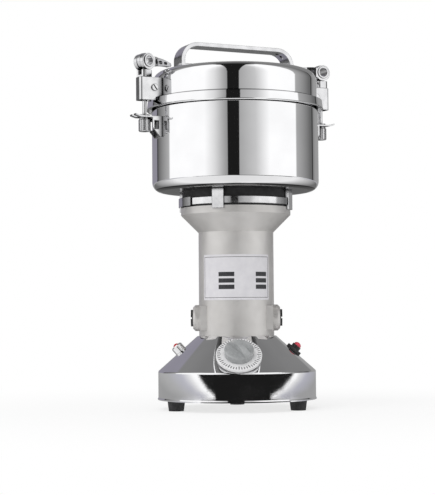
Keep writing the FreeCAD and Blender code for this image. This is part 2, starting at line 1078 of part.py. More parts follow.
def make_blade_spacers():
    low_rim, high_rim = spacer_rims
    low = Vector(0, 0, blade_shoulder())
    spacers = [tube(spacer_radius + low_rim, shaft_top_radius, blade_washer, low)]
    for index in range(len(blade_turns) - 1):
        base = blade_level(index) + blade_sheet
        height = blade_pitch - blade_sheet
        spacers.append(tube(spacer_radius, shaft_top_radius, height, Vector(0, 0, base)))
    high = Vector(0, 0, stack_top() - blade_washer)
    spacers.append(tube(spacer_radius + high_rim, shaft_top_radius, blade_washer, high))
    return spacers


def make_blade_nut():
    base = stack_top()
    body = hexagon(blade_nut_across, blade_nut_height * blade_nut_body_share, Vector(0, 0, base))
    crown_radius = blade_nut_across / 2
    crown = Part.makeSphere(crown_radius, Vector(0, 0, base + blade_nut_height - crown_radius))
    keep_low = base + blade_nut_height * blade_nut_dome_share
    keep = cylinder(crown_radius, blade_nut_height, Vector(0, 0, keep_low))
    nut = body.fuse(crown.common(keep))
    return nut.cut(cylinder(shaft_top_radius, blade_nut_height / 2, Vector(0, 0, base)))


# Bowl, its hub and the parts that seat it on the collar

def make_jar():
    inner_corner = jar_corner - jar_sheet
    centre_r = jar_radius - jar_corner
    centre_z = z_jar + jar_corner
    floor_hole = hub_tube_radius + seat_gap
    flange_low = z_jar_top - jar_sheet
    return turned([
        (floor_hole, z_jar),
        (centre_r, z_jar),
        quarter(centre_r, centre_z, jar_corner, 0, -45),
        (jar_radius, flange_low),
        (jar_flange_radius, flange_low),
        (jar_flange_radius, z_jar_top),
        (jar_radius - jar_sheet, z_jar_top),
        (jar_radius - jar_sheet, centre_z),
        quarter(centre_r, centre_z, inner_corner, -90, -45),
        (floor_hole, z_jar + jar_sheet),
    ])


def make_bowl_hub():
    floor = z_jar + jar_sheet
    top = floor + hub_height
    bottom = z_jar - hub_tail
    bore = shaft_radius + running_gap
    return turned([
        (bore, bottom),
        (hub_tube_radius, bottom),
        (hub_tube_radius, floor),
        (hub_flange_radius, floor),
        (hub_flange_radius, floor + hub_flange),
        (hub_tube_radius, floor + hub_flange + 2),
        (hub_tube_radius - 1, top),
        (seal_radius, top),
        (seal_radius, top - seal_height),
        (bore, top - seal_height),
    ])


def make_hub_nut():
    base = z_jar - hub_nut_height
    nut = hexagon(hub_nut_across, hub_nut_height, Vector(0, 0, base))
    return nut.cut(cylinder(hub_tube_radius + seat_gap, 2 * hub_nut_height, Vector(0, 0, base - 1)))


def make_shaft_seal():
    top = z_jar + jar_sheet + hub_height
    return turned([
        (shaft_radius + running_gap, top - seal_height),
        (seal_radius - seat_gap, top - seal_height),
        (seal_radius - seat_gap, top),
        (shaft_radius + 1.5, top),
        (shaft_radius + running_gap, top + 1),
    ])


def make_rubber_sleeve():
    return tube(sleeve_radius, ledge_radius, sleeve_height, Vector(0, 0, z_seat))


def make_band_clamp():
    base = z_seat + band_lift
    inner = sleeve_radius + seat_gap
    hem = band_sheet
    band = turned([
        (band_radius, base),
        (band_radius, base + band_height),
        (inner, base + band_height),
        (inner, base + band_height - hem),
        (band_radius - band_sheet, base + band_height - hem),
        (band_radius - band_sheet, base + hem),
        (inner, base + hem),
        (inner, base),
    ])
    buckle = sector(
        band_radius + buckle_sheet,
        band_radius + running_gap,
        buckle_height,
        base + band_height / 2 - buckle_height / 2,
        buckle_from,
        buckle_to,
    )
    return [band, buckle]


def make_seat_lugs():
    half = lug_width / 2
    back = lug_radius - lug_sheet
    band_low = z_seat + band_lift - moving_gap
    band_high = z_seat + band_lift + band_height + moving_gap
    foot = z_seat - lug_foot_drop
    head = z_jar - moving_gap
    side = outline([
        (lug_radius, foot),
        (lug_radius, head),
        (sleeve_radius + seat_gap, head),
        (sleeve_radius + seat_gap, band_high),
        (back, band_high),
        (back, band_low),
        (collar_radius + running_gap, band_low),
        (collar_radius + running_gap, foot),
    ])
    lug = side.extrude(Vector(0, lug_width, 0))
    lug = moved(lug, 0, -half, 0)
    inner = cylinder(collar_radius + running_gap, band_low - foot, Vector(0, 0, foot))
    upper = cylinder(sleeve_radius + seat_gap, head - band_high, Vector(0, 0, band_high))
    band_way = cylinder(band_radius + seat_gap, band_high - band_low, Vector(0, 0, band_low))
    lug = lug.cut([inner, upper, band_way])
    return ring_of(lug, lug_count, lug_turn)


def make_bowl_fasteners():
    tail = z_ledge - bowl_stud_tail
    stud = cylinder(bowl_stud_radius, z_jar - tail, Vector(bowl_stud_circle, 0, tail))
    nut_base = Vector(bowl_stud_circle, 0, z_ledge - bowl_nut_height)
    nut = hexagon(bowl_nut_across, bowl_nut_height, nut_base)
    nut = nut.cut(cylinder(bowl_stud_radius, bowl_nut_height, nut_base))
    studs = ring_of(stud, bowl_stud_count, bowl_stud_turn)
    return studs + ring_of(nut, bowl_stud_count, bowl_stud_turn)


# Ear brackets on the bowl wall and their thimble nuts

def ear_top():
    return z_jar_top - ear_drop


def make_jar_bracket():
    top = ear_top()
    low = top - ear_sheet
    web_low = low - ear_web_height
    lip_start = jar_radius + ear_reach
    ear = outline([
        (jar_radius - jar_corner, low),
        (lip_start, low),
        (lip_start + ear_lip_reach, low + ear_lip_rise),
        (lip_start + ear_lip_reach, top + ear_lip_rise),
        (lip_start, top),
        (jar_radius - jar_corner, top),
    ]).extrude(Vector(0, 2 * ear_half_width, 0))
    ear = moved(ear, 0, -ear_half_width, 0)
    cheek_side = outline([
        (jar_radius - jar_corner, web_low),
        (jar_radius + ear_sheet, web_low),
        (jar_radius + ear_cheek_reach, web_low + ear_web_height / 2),
        (jar_radius + ear_cheek_reach, low + seat_gap),
        (jar_radius - jar_corner, low + seat_gap),
    ])
    window_from = jar_radius + 2 * ear_sheet
    window = block(
        window_from,
        window_from + ear_window_length,
        -2 * ear_half_width,
        2 * ear_half_width,
        low - 2 * ear_sheet - ear_window_height,
        low - 2 * ear_sheet,
    )
    cheek = cheek_side.extrude(Vector(0, ear_sheet, 0))
    cheeks = moved(cheek, 0, ear_half_width - ear_sheet, 0).fuse(moved(cheek, 0, -ear_half_width, 0))
    web = block(
        jar_radius - jar_corner,
        jar_radius + ear_sheet,
        -ear_half_width,
        ear_half_width,
        web_low,
        low + seat_gap,
    )
    bracket = ear.fuse([cheeks.cut(window), web])
    jar_wall = cylinder(jar_radius + running_gap, 2 * ear_web_height, Vector(0, 0, web_low - 1))
    keyhole = cylinder(nut_neck_radius + seat_gap, 4 * ear_sheet, Vector(rod_circle, 0, low - ear_sheet))
    half_slot = ear_slot / 2
    slot = block(
        rod_circle,
        lip_start + 2 * ear_lip_reach,
        -half_slot,
        half_slot,
        low - 1,
        top + 2 * ear_lip_rise,
    )
    return bracket.cut([jar_wall, keyhole, slot]).removeSplitter()


def make_jar_brackets():
    bracket = make_jar_bracket()
    return [at_clamp(bracket, "right"), at_clamp(bracket, "left")]


def nut_base():
    return ear_top() - ear_sheet - moving_gap - nut_collar_height - nut_height


def make_thimble_nut(side):
    top = ear_top()
    base = nut_base()
    knurl_top = base + nut_height
    collar_top = knurl_top + nut_collar_height
    flange_low = top + moving_gap
    chamfer = nut_chamfer
    nut = turned([
        (rod_radius + rod_bore_gap, base),
        (nut_radius - chamfer, base),
        (nut_radius, base + chamfer),
        (nut_radius, knurl_top - chamfer),
        (nut_radius - chamfer, knurl_top),
        (nut_flange_radius, knurl_top),
        (nut_flange_radius, collar_top),
        (nut_neck_radius, collar_top),
        (nut_neck_radius, flange_low),
        (nut_flange_radius, flange_low),
        (nut_flange_radius, flange_low + nut_flange_height),
        (rod_radius + rod_bore_gap, flange_low + nut_flange_height),
    ])
    flute = cylinder(nut_flute_radius, nut_height + 2, Vector(nut_radius, 0, base - 1))
    nut = nut.cut(ring_of(flute, nut_flutes))
    return at_clamp(moved(nut, rod_circle, 0, 0), side)


# Lid, gasket, handle and rivets

def lid_outline(offset):
    """Return the lid's outside, from skirt to crown, moved outward by offset."""
    corner = lid_corner + offset
    wall = lid_radius + offset
    centre_r = lid_radius - lid_corner
    centre_z = z_lid_top - lid_corner
    slope = math.atan2(shoulder_rise, skirt_radius - skirt_bead - lid_radius)
    lean = offset * math.tan((math.pi / 2 - slope) / 2)
    return [
        (skirt_radius - skirt_bead + offset, z_shoulder + lean),
        (wall, z_lid_wall + lean),
        (wall, centre_z),
        quarter(centre_r, centre_z, corner, 90, 45),
        dome(centre_r, z_lid_top + offset, lid_dome),
    ]


def make_lid_shell():
    outside = [
        (skirt_radius, z_skirt),
        (skirt_radius + skirt_bead / 2, z_skirt + sheet / 2),
        (skirt_radius, z_skirt + sheet),
    ] + lid_outline(0)
    outer = turned(outside + [(0, z_skirt)])
    inside = [(skirt_inner, z_skirt - 1), (skirt_inner, z_skirt + sheet)] + lid_outline(-sheet)
    inner = turned(inside + [(0, z_skirt - 1)])
    shell = outer.cut(inner)
    return shell.cut(rivet_holes(z_lid_top - 2 * lid_corner))


def lid_envelope(offset):
    """Return the space that the closed lid fills, grown by offset."""
    skirt = skirt_radius + skirt_bead / 2 + offset
    low = z_skirt - offset
    return turned([(skirt, low), (skirt, z_shoulder)] + lid_outline(offset) + [(0, low)])


def make_lid_gasket():
    inner = lid_radius - sheet + gasket_inset
    outer = jar_flange_radius - gasket_inset
    bottom = z_jar_top + moving_gap
    ring = tube(outer, inner, shoulder_seat + shoulder_rise, Vector(0, 0, bottom))
    low = z_skirt - 1
    skirt = [(skirt_inner, low), (skirt_inner, z_skirt + sheet)]
    inside = turned(skirt + lid_outline(-sheet - seat_gap) + [(0, low)])
    return ring.common(inside)


def rivet_positions():
    """Return where the rivets stand along the handle's length."""
    outer = handle_half_length - handle_thickness
    foot_inner = outer - handle_foot_length
    places = [foot_inner + handle_foot_length * share for share in rivet_shares]
    return [-place for place in places] + places


def rivet_holes(bottom):
    """Return the bars that bore the rivet holes, from a level upward."""
    radius = rivet_radius + running_gap
    bars = [cylinder(radius, 4 * lid_corner, Vector(place, 0, bottom)) for place in rivet_positions()]
    return [around(bar, clamp_turn) for bar in bars]


def make_lid_handle():
    half = handle_half_length
    inner_half = half - handle_thickness
    inner_corner = handle_corner - handle_thickness
    foot_end = inner_half - handle_foot_length
    top = z_handle
    centre_z = top - handle_corner
    foot_top = z_dome + handle_thickness / 2
    bottom = z_lid_top - lid_corner
    strap = outline([
        (half, bottom),
        (half, centre_z),
        quarter(half - handle_corner, centre_z, handle_corner, 90, 45),
        (-(half - handle_corner), top),
        quarter(-(half - handle_corner), centre_z, handle_corner, 180, 135),
        (-half, bottom),
        (-foot_end, bottom),
        (-foot_end, foot_top),
        (-inner_half, foot_top),
        (-inner_half, centre_z),
        quarter(-(half - handle_corner), centre_z, inner_corner, 90, 135),
        (half - handle_corner, top - handle_thickness),
        quarter(half - handle_corner, centre_z, inner_corner, 0, 45),
        (inner_half, foot_top),
        (foot_end, foot_top),
        (foot_end, bottom),
    ])
    handle = strap.extrude(Vector(0, handle_width, 0))
    handle = moved(handle, 0, -handle_width / 2, 0)
    handle = around(handle, clamp_turn).cut(lid_envelope(running_gap))
    return handle.cut(rivet_holes(bottom))


def make_handle_rivets():
    rivets = []
    foot_top = z_dome + handle_thickness / 2
    for place in rivet_positions():
        fall = lid_dome * (place / (lid_radius - lid_corner)) ** 2
        inside = z_dome - fall - sheet - moving_gap
        shank_base = inside - rivet_head_height
        shank = cylinder(rivet_radius, foot_top - shank_base, Vector(place, 0, shank_base))
        head = cylinder(rivet_head_radius, rivet_head_height, Vector(place, 0, foot_top))
        tail = cylinder(rivet_head_radius, rivet_head_height, Vector(place, 0, shank_base))
        rivets.append(around(shank.fuse([head, tail]), clamp_turn))
    return rivets


# Clamps: box, lug, cross screw, draw rod, saddle, pin and cam lever

def box_top():
    return z_skirt + box_lift + box_height


def pin_height():
    """Return the lever pin's height, set so that the cam just clears its saddle."""
    return box_top() + saddle_height + moving_gap + cam_radius + cam_throw


def screw_level():
    return box_top() - screw_drop


def screw_circle():
    return rod_circle - screw_inset


def make_clamp_box():
    base = box_top() - box_height
    start = lid_radius - lid_corner
    end = rod_circle + box_end_reach

    def channel(shrink, z_from, z_to):
        """Return a bar as wide as the box less shrink, with two bends at its outer end."""
        half = box_half_width - shrink
        bend = box_bend - shrink
        bend_x = end - shrink - bend
        bend_y = half - bend
        bars = [block(start, end - shrink, -bend_y, bend_y, z_from, z_to)]
        for y in (-bend_y, bend_y):
            bars.append(cylinder(bend, z_to - z_from, Vector(bend_x, y, z_from)))
        return block(start, bend_x, -half, half, z_from, z_to).fuse(bars).removeSplitter()

    box = channel(0, base, box_top())
    box = box.cut(channel(box_sheet, base - 1, box_top() - box_sheet))
    rod_hole = cylinder(
        rod_radius + rod_bore_gap,
        3 * box_sheet,
        Vector(rod_circle, 0, box_top() - 2 * box_sheet),
    )
    screw_hole = cylinder(
        screw_radius + running_gap,
        4 * box_half_width,
        Vector(screw_circle(), -2 * box_half_width, screw_level()),
        Vector(0, 1, 0),
    )
    return box.cut([lid_envelope(moving_gap), rod_hole, screw_hole])


def make_clamp_boxes():
    box = make_clamp_box()
    return [at_clamp(box, "right"), at_clamp(box, "left")]


def make_clamp_lugs():
    half = box_half_width - box_sheet - seat_gap
    z = screw_level() - lug_block_height / 2
    lug = block(lid_radius - lid_corner, lid_radius + lug_block_reach, -half, half, z, z + lug_block_height)
    nose = cylinder(
        lug_block_height / 2,
        2 * half,
        Vector(screw_circle(), -half, screw_level()),
        Vector(0, 1, 0),
    )
    root = block(lid_radius - lid_corner, screw_circle(), -half, half, z, z + lug_block_height)
    lug = lug.common(root.fuse(nose))
    screw_hole = cylinder(
        screw_radius + running_gap,
        4 * half,
        Vector(screw_circle(), -2 * half, screw_level()),
        Vector(0, 1, 0),
    )
    lug = lug.cut([lid_envelope(running_gap), screw_hole])
    return [at_clamp(lug, "right"), at_clamp(lug, "left")]


def make_clamp_screws():
    axis = Vector(0, 1, 0)
    centre = Vector(screw_circle(), 0, screw_level())
    half = box_half_width
    shank_start = centre - Vector(0, half + screw_nut_height, 0)
    shank = cylinder(screw_radius, 2 * half + screw_nut_height, shank_start, axis)
    head = cylinder(screw_head_radius, screw_head_height, centre + Vector(0, half, 0), axis)
    slot = block(
        centre.x - screw_slot_width / 2,
        centre.x + screw_slot_width / 2,
        half + screw_head_height / 2,
        half + 2 * screw_head_height,
        centre.z - screw_head_radius,
        centre.z + screw_head_radius,
    )
    slot.rotate(centre, axis, screw_slot_turn)
    nut = cylinder(screw_head_radius, screw_nut_height, shank_start, axis)
    screw = shank.fuse([head.cut(slot), nut])
    return [at_clamp(screw, "right"), at_clamp(screw, "left")]


def lever_yaw(side):
    return lever_yaw_right if side == "right" else lever_yaw_left


def on_rod(shape, side):
    """Set a shape, built about the lever pin with the bar along -X, on the clamp's rod."""
    copy = around(shape, lever_yaw(side))
    return at_clamp(moved(copy, rod_circle, 0, pin_height()), side)


def pin_radius():
    return pin_bore_radius + pin_wall


def make_draw_rod(side):
    low = nut_base() + rod_end_rise
    length = pin_height() - (eye_radius + pin_radius()) / 2 - low
    shank = cylinder(rod_radius, length, Vector(0, 0, low - pin_height()))
    eye = cylinder(eye_radius, eye_width, Vector(0, -eye_width / 2, 0), Vector(0, 1, 0))
    bore = cylinder(pin_radius() + running_gap, 2 * eye_width, Vector(0, -eye_width, 0), Vector(0, 1, 0))
    return on_rod(shank.fuse(eye).cut(bore), side)


def make_draw_rods():
    return [make_draw_rod("right"), make_draw_rod("left")]


def make_cam_saddle(side):
    half_length = saddle_length / 2
    half_width = barrel_length / 2
    low = box_top() - pin_height()
    body = block(-half_length, half_length, -half_width, half_width, low, low + saddle_height)
    corner = math.hypot(half_length, half_width)
    round_off = cylinder(corner - saddle_corner_cut, saddle_height, Vector(0, 0, low))
    body = body.common(round_off)
    slot = block(
        -2 * half_length,
        2 * half_length,
        -saddle_slot / 2,
        saddle_slot / 2,
        low + saddle_floor,
        low + 2 * saddle_height,
    )
    hole = cylinder(rod_radius + rod_bore_gap, 2 * saddle_height, Vector(0, 0, low - 1))
    return on_rod(body.cut([slot, hole]), side)


def make_cam_saddles():
    return [make_cam_saddle("right"), make_cam_saddle("left")]


def make_lever_pin(side):
    half = barrel_length / 2 + moving_gap
    axis = Vector(0, 1, 0)
    length = 2 * (half + pin_flange)
    start = Vector(0, -half - pin_flange, 0)
    body = cylinder(pin_radius(), length, start, axis)
    for y in (-half - pin_flange, half):
        body = body.fuse(cylinder(pin_flange_radius, pin_flange, Vector(0, y, 0), axis))
    body = body.cut(cylinder(pin_bore_radius, length + 2, start - axis, axis))
    return on_rod(body, side)


def make_lever_pins():
    return [make_lever_pin("right"), make_lever_pin("left")]


def make_cam_lever(side):
    axis = Vector(0, 1, 0)
    half = barrel_length / 2
    bar_start = cam_radius - lever_bar_overlap
    tip = lever_length - lever_tip_round
    middle = lever_length * lever_mid_share
    side_view = outline([
        (-bar_start, lever_top[0]),
        (-tip, lever_top[2], -middle, lever_top[1]),
        (-tip, lever_under[2], -lever_length, lever_nose),
        (-bar_start, lever_under[0], -middle, lever_under[1]),
        (0, -lever_tip_round),
        (0, lever_tip_round),
    ]).extrude(Vector(0, barrel_length, 0))
    side_view = moved(side_view, 0, -half, 0)
    cam = cylinder(cam_radius, barrel_length, Vector(0, -half, -cam_throw), axis)
    bar_half = lever_bar_width / 2
    taper_end = cam_radius + lever_taper_length
    plan_points = [
        Vector(cam_radius + 1, half, -2 * cam_radius),
        Vector(-cam_radius, half, -2 * cam_radius),
        Vector(-taper_end, bar_half, -2 * cam_radius),
        Vector(-lever_length - 1, bar_half, -2 * cam_radius),
        Vector(-lever_length - 1, -bar_half, -2 * cam_radius),
        Vector(-taper_end, -bar_half, -2 * cam_radius),
        Vector(-cam_radius, -half, -2 * cam_radius),
        Vector(cam_radius + 1, -half, -2 * cam_radius),
        Vector(cam_radius + 1, half, -2 * cam_radius),
    ]
    plan = Part.Face(Part.makePolygon(plan_points)).extrude(Vector(0, 0, 4 * cam_radius))
    lever = cam.fuse(side_view).common(plan)
    gap_half = eye_width / 2 + moving_gap
    eye_room = cylinder(
        eye_radius + cam_throw + moving_gap,
        2 * gap_half,
        Vector(0, -gap_half, 0),
        axis,
    )
    bore = cylinder(pin_radius() + running_gap, 2 * barrel_length, Vector(0, -barrel_length, 0), axis)
    holes = []
    for place, width, height in zip(lever_hole_places, lever_hole_widths, lever_hole_heights):
        radius = height / 2
        reach = (width - height) / 2
        start = Vector(-place, -barrel_length, lever_hole_rise)
        hole = cylinder(radius, 2 * barrel_length, start - Vector(reach, 0, 0), axis)
        hole = hole.fuse(cylinder(radius, 2 * barrel_length, start + Vector(reach, 0, 0), axis))
        low = lever_hole_rise - radius
        high = lever_hole_rise + radius
        middle_bar = block(-place - reach, -place + reach, -barrel_length, barrel_length, low, high)
        holes.append(hole.fuse(middle_bar))
    lever = lever.cut([eye_room, bore] + holes)
    return on_rod(lever, side)


# Timer, pilot lamp and reset button on the slope

def make_timer_body():
    top = -sheet - timer_sink
    body = cylinder(timer_radius, timer_depth, Vector(0, 0, top - timer_depth))
    neck_top = timer_nut_height + moving_gap
    neck = cylinder(timer_neck_radius, neck_top - top, Vector(0, 0, top))
    body = body.fuse(neck)
    bore = cylinder(spindle_radius + running_gap, 2 * timer_depth, Vector(0, 0, top - timer_depth / 2))
    nut = hexagon(timer_nut_across, timer_nut_height, Vector(0, 0, 0))
    nut = nut.cut(cylinder(timer_neck_radius, timer_nut_height, ORIGIN))
    return [at_timer(body.cut(bore)), at_timer(nut)]


def make_timer_spindle():
    bottom = -sheet - timer_sink - timer_depth / 2 + moving_gap
    top = dial_proud + knob_height * spindle_depth_share
    spindle = cylinder(spindle_radius, top - bottom, Vector(0, 0, bottom))
    flat = block(
        spindle_radius * spindle_flat_share,
        2 * spindle_radius,
        -spindle_radius,
        spindle_radius,
        dial_proud,
        top + 1,
    )
    return at_timer(around(spindle.cut(flat), knob_turn))


def make_timer_dial():
    top = dial_proud
    under = top - dial_sheet
    skirt = 2 * moving_gap
    spin = turned([
        (spindle_radius, under),
        (dial_radius - dial_sheet, under),
        (dial_radius - dial_sheet, skirt),
        (dial_radius, skirt),
        (dial_radius, top - dial_sheet / 2),
        (dial_radius - dial_sheet / 2, top),
        (spindle_radius, top),
    ])
    return at_timer(spin)


def make_timer_knob():
    base = dial_proud
    skirt = turned([
        (0, base),
        (knob_radius, base),
        (knob_radius, base + knob_skirt - knob_edge),
        (knob_radius - knob_edge, base + knob_skirt),
        (0, base + knob_skirt + knob_crown),
    ])
    length = knob_radius - knob_wing_inset
    low = base + knob_skirt / 2
    top = base + knob_height
    half = knob_wing_width / 2
    top_half = half - knob_wing_taper

    def wing_section(z, half_x, half_y):
        points = [
            Vector(-half_x, -half_y, z),
            Vector(half_x, -half_y, z),
            Vector(half_x, half_y, z),
            Vector(-half_x, half_y, z),
            Vector(-half_x, -half_y, z),
        ]
        return Part.makePolygon(points)

    sections = [wing_section(low, half, length), wing_section(top, top_half, length - knob_edge)]
    wing = Part.makeLoft(sections, True, True)
    crown_radius = (length ** 2 + knob_wing_crown ** 2) / (2 * knob_wing_crown)
    crown = cylinder(crown_radius, 4 * half, Vector(-2 * half, 0, top - crown_radius), Vector(1, 0, 0))
    wing_round = cylinder(knob_radius - knob_wing_inset / 2, knob_height * 2, ORIGIN)
    wing = wing.common(crown).common(wing_round)
    knob = skirt.fuse(wing)
    socket = cylinder(spindle_radius, knob_height * spindle_depth_share, Vector(0, 0, base))
    room = 2 * spindle_radius
    keep = block(-room, spindle_radius * spindle_flat_share, -room, room, base - 1, top)
    return at_timer(around(knob.cut(socket.common(keep)), knob_turn))


def make_indicator_bezel():
    lens_seat = lens_radius + seat_gap
    bezel = turned([
        (bezel_neck_radius - 1, -bezel_tail),
        (bezel_neck_radius, -bezel_tail),
        (bezel_neck_radius, 0),
        (bezel_radius, 0),
        (bezel_radius, bezel_height - 1.2),
        (bezel_radius - 1.2, bezel_height),
        (lens_seat, bezel_height),
        (lens_seat, -bezel_tail / 2),
        (bezel_neck_radius - 1, -bezel_tail / 2),
    ])
    return on_slope(bezel, left, lamp_up_slope)


def make_indicator_lens():
    low = -bezel_tail / 2
    lens = turned([
        (0, low),
        (lens_radius, low),
        (lens_radius, bezel_height),
        dome(lens_radius, bezel_height, lens_proud),
    ])
    return on_slope(lens, left, lamp_up_slope)


def make_reset_housing():
    nut = hexagon(reset_flange_across, reset_flange_height, ORIGIN)
    crown = Part.makeCone(
        reset_flange_across * 0.62,
        reset_flange_across * 0.5,
        reset_flange_height,
        ORIGIN,
        UP,
    )
    nut = nut.common(crown)
    barrel_top = reset_flange_height + reset_barrel_height
    barrel = cylinder(reset_barrel_radius, barrel_top + 2 * sheet, Vector(0, 0, -2 * sheet))
    body_top = -2 * sheet
    body = cylinder(reset_body_radius, reset_body_depth, Vector(0, 0, body_top - reset_body_depth))
    bore_depth = button_stem + button_travel + 1
    bore = cylinder(button_radius + button_gap, barrel_top + bore_depth, Vector(0, 0, -bore_depth))
    return on_slope(nut.fuse([barrel, body]).cut(bore), right, lamp_up_slope)


def make_reset_button():
    barrel_top = reset_flange_height + reset_barrel_height
    rim = barrel_top + button_proud - button_dome
    button = turned([
        (0, -button_stem),
        (button_radius, -button_stem),
        (button_radius, rim),
        dome(button_radius, rim, button_dome),
    ])
    return on_slope(button, right, lamp_up_slope)


parts = {
    "base_shell": make_base_shell(),
    "base_plate": make_base_plate(),
    "foot_front_left": make_foot(front - 60),
    "foot_front_right": make_foot(front + 60),
    "foot_rear": make_foot(rear),
    "foot_screws": make_foot_screws(),
    "cord_grommet": make_cord_grommet(),
    "terminal_block": make_terminal_block(),
    "neck_casting": make_neck_casting(),
    "neck_screws": make_neck_screws(),
    "lower_bearing_bracket": make_lower_bearing_bracket(),
    "lower_bearing": make_bearing(
        lower_bearing_radius, shaft_tail_radius, lower_bearing_width, lower_bearing_base()
    ),
    "upper_bearing_plate": make_upper_bearing_plate(),
    "upper_bearing": make_bearing(
        upper_bearing_radius, shaft_radius, upper_bearing_width, upper_bearing_base()
    ),
    "stator_core": make_stator_core(),
    "field_coils": make_field_coils(),
    "brush_holders": make_brush_holders(),
    "carbon_brushes": make_carbon_brushes(),
    "brush_springs": make_brush_springs(),
    "brush_caps": make_brush_caps(),
    "motor_shaft": make_motor_shaft(),
    "armature_core": make_armature_core(),
    "armature_winding": make_armature_winding(),
    "commutator": make_commutator(),
    "cooling_fan": make_cooling_fan(),
    "blades": make_blades(),
    "blade_spacers": make_blade_spacers(),
    "blade_nut": make_blade_nut(),
    "jar": make_jar(),
    "bowl_hub": make_bowl_hub(),
    "hub_nut": make_hub_nut(),
    "shaft_seal": make_shaft_seal(),
    "rubber_sleeve": make_rubber_sleeve(),
    "band_clamp": make_band_clamp(),
    "seat_lugs": make_seat_lugs(),
    "bowl_fasteners": make_bowl_fasteners(),
    "jar_brackets": make_jar_brackets(),
    "thimble_nut_left": make_thimble_nut("left"),
    "thimble_nut_right": make_thimble_nut("right"),
    "lid_shell": make_lid_shell(),
    "lid_gasket": make_lid_gasket(),
    "lid_handle": make_lid_handle(),
    "handle_rivets": make_handle_rivets(),
    "clamp_boxes": make_clamp_boxes(),
    "clamp_lugs": make_clamp_lugs(),
    "clamp_screws": make_clamp_screws(),
    "draw_rods": make_draw_rods(),
    "cam_saddles": make_cam_saddles(),
    "lever_pins": make_lever_pins(),
    "cam_lever_left": make_cam_lever("left"),
    "cam_lever_right": make_cam_lever("right"),
    "timer_body": make_timer_body(),
    "timer_spindle": make_timer_spindle(),
    "timer_dial": make_timer_dial(),
    "timer_knob": make_timer_knob(),
    "indicator_bezel": make_indicator_bezel(),
    "indicator_lens": make_indicator_lens(),
    "reset_housing": make_reset_housing(),
    "reset_button": make_reset_button(),
}

os.makedirs("parts", exist_ok=True)
for name, shape in parts.items():
    solid = Part.makeCompound(shape) if isinstance(shape, list) else shape
    solid.exportStep(os.path.join("parts", name + ".step"))
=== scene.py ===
"""Studio look of the electric grain mill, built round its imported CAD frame.

Lengths are metres in the frame's own axes: the front is -Y, +X is the viewer's right and +Z is up.
Every CAD node keeps its shape and gets a node material.
The name plate and the dial's marks are made here.
"""

import json
import math

import bmesh
import bpy
from mathutils import Matrix, Vector


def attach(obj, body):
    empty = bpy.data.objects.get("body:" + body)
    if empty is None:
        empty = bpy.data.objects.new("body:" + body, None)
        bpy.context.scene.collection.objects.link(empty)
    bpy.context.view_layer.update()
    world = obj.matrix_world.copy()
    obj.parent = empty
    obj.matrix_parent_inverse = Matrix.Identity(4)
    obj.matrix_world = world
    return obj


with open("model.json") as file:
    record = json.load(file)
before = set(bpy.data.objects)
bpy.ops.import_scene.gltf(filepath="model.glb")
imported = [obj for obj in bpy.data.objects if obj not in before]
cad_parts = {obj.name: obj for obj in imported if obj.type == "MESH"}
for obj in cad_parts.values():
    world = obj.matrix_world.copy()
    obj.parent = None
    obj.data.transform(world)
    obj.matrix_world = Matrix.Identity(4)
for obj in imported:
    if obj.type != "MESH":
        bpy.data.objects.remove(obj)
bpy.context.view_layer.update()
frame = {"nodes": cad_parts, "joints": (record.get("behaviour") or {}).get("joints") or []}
nodes = frame["nodes"]

mm = 0.001

# Name plate, wrapped round the front of the neck
plate_low = 113.0 * mm
plate_high = 160.0 * mm
plate_half_angle = 57.0
plate_thickness = 0.5 * mm
plate_corner = 1.5 * mm
plate_steps = 72
plate_gap = 0.05 * mm
print_thickness = 0.04 * mm
# The thin frame printed on the plate: its line, and how far it stands in from top and sides
frame_line = 0.45 * mm
frame_inset = 2.4 * mm
frame_side_inset = 1.6 * mm
# Where the plate's two columns of dark fields begin and end, as shares of its width
field_columns = ((0.262, 0.475), (0.765, 0.944))
# The fields' rows, as shares of the plate's height, measured down from its top
field_rows = 3
field_first_row = 0.385
field_row_step = 0.14
field_height = 0.095
# Height on the neck at which its flare begins, where its radius is read
flare_start = 184.0 * mm
flare_reach = 0.2 * mm

# Dial marks
mark_count = 48
long_mark_every = 4
mark_long = 4.2 * mm
mark_short = 3.0 * mm
mark_width = 0.80 * mm
mark_inset = 1.0 * mm
mark_thickness = 0.05 * mm

# Painted shade and reflection on the polished sheet: a dark band for the shaded gap at the seam over
# the lid's skirt, and the dark surroundings that the bowl's bottom reflects
seam_low = 321.9 * mm
seam_high = 323.7 * mm
painted_bottom_top = 229.3 * mm
painted_bottom_line = 0.8 * mm
painted_bottom_inner_radius = 60.0 * mm
painted_bottom_outer_radius = 84.0 * mm

# Camera, measured from the photograph's perspective
camera_distance = 1.591
camera_height = 0.0989
camera_lens = 110.18
camera_pitch = 2.51
camera_yaw = 0.70
camera_roll = -0.45
sensor_width = 36.0
camera_near = 0.05
camera_far = 50.0

# Lowest point of the bowl
bowl_bottom = min(vertex.co.z for vertex in nodes["jar"].data.vertices)


# Node trees

def rgba(colour):
    """Return a colour with alpha, from one grey level or three numbers."""
    if isinstance(colour, (int, float)):
        return (colour, colour, colour, 1.0)
    return (*colour, 1.0)


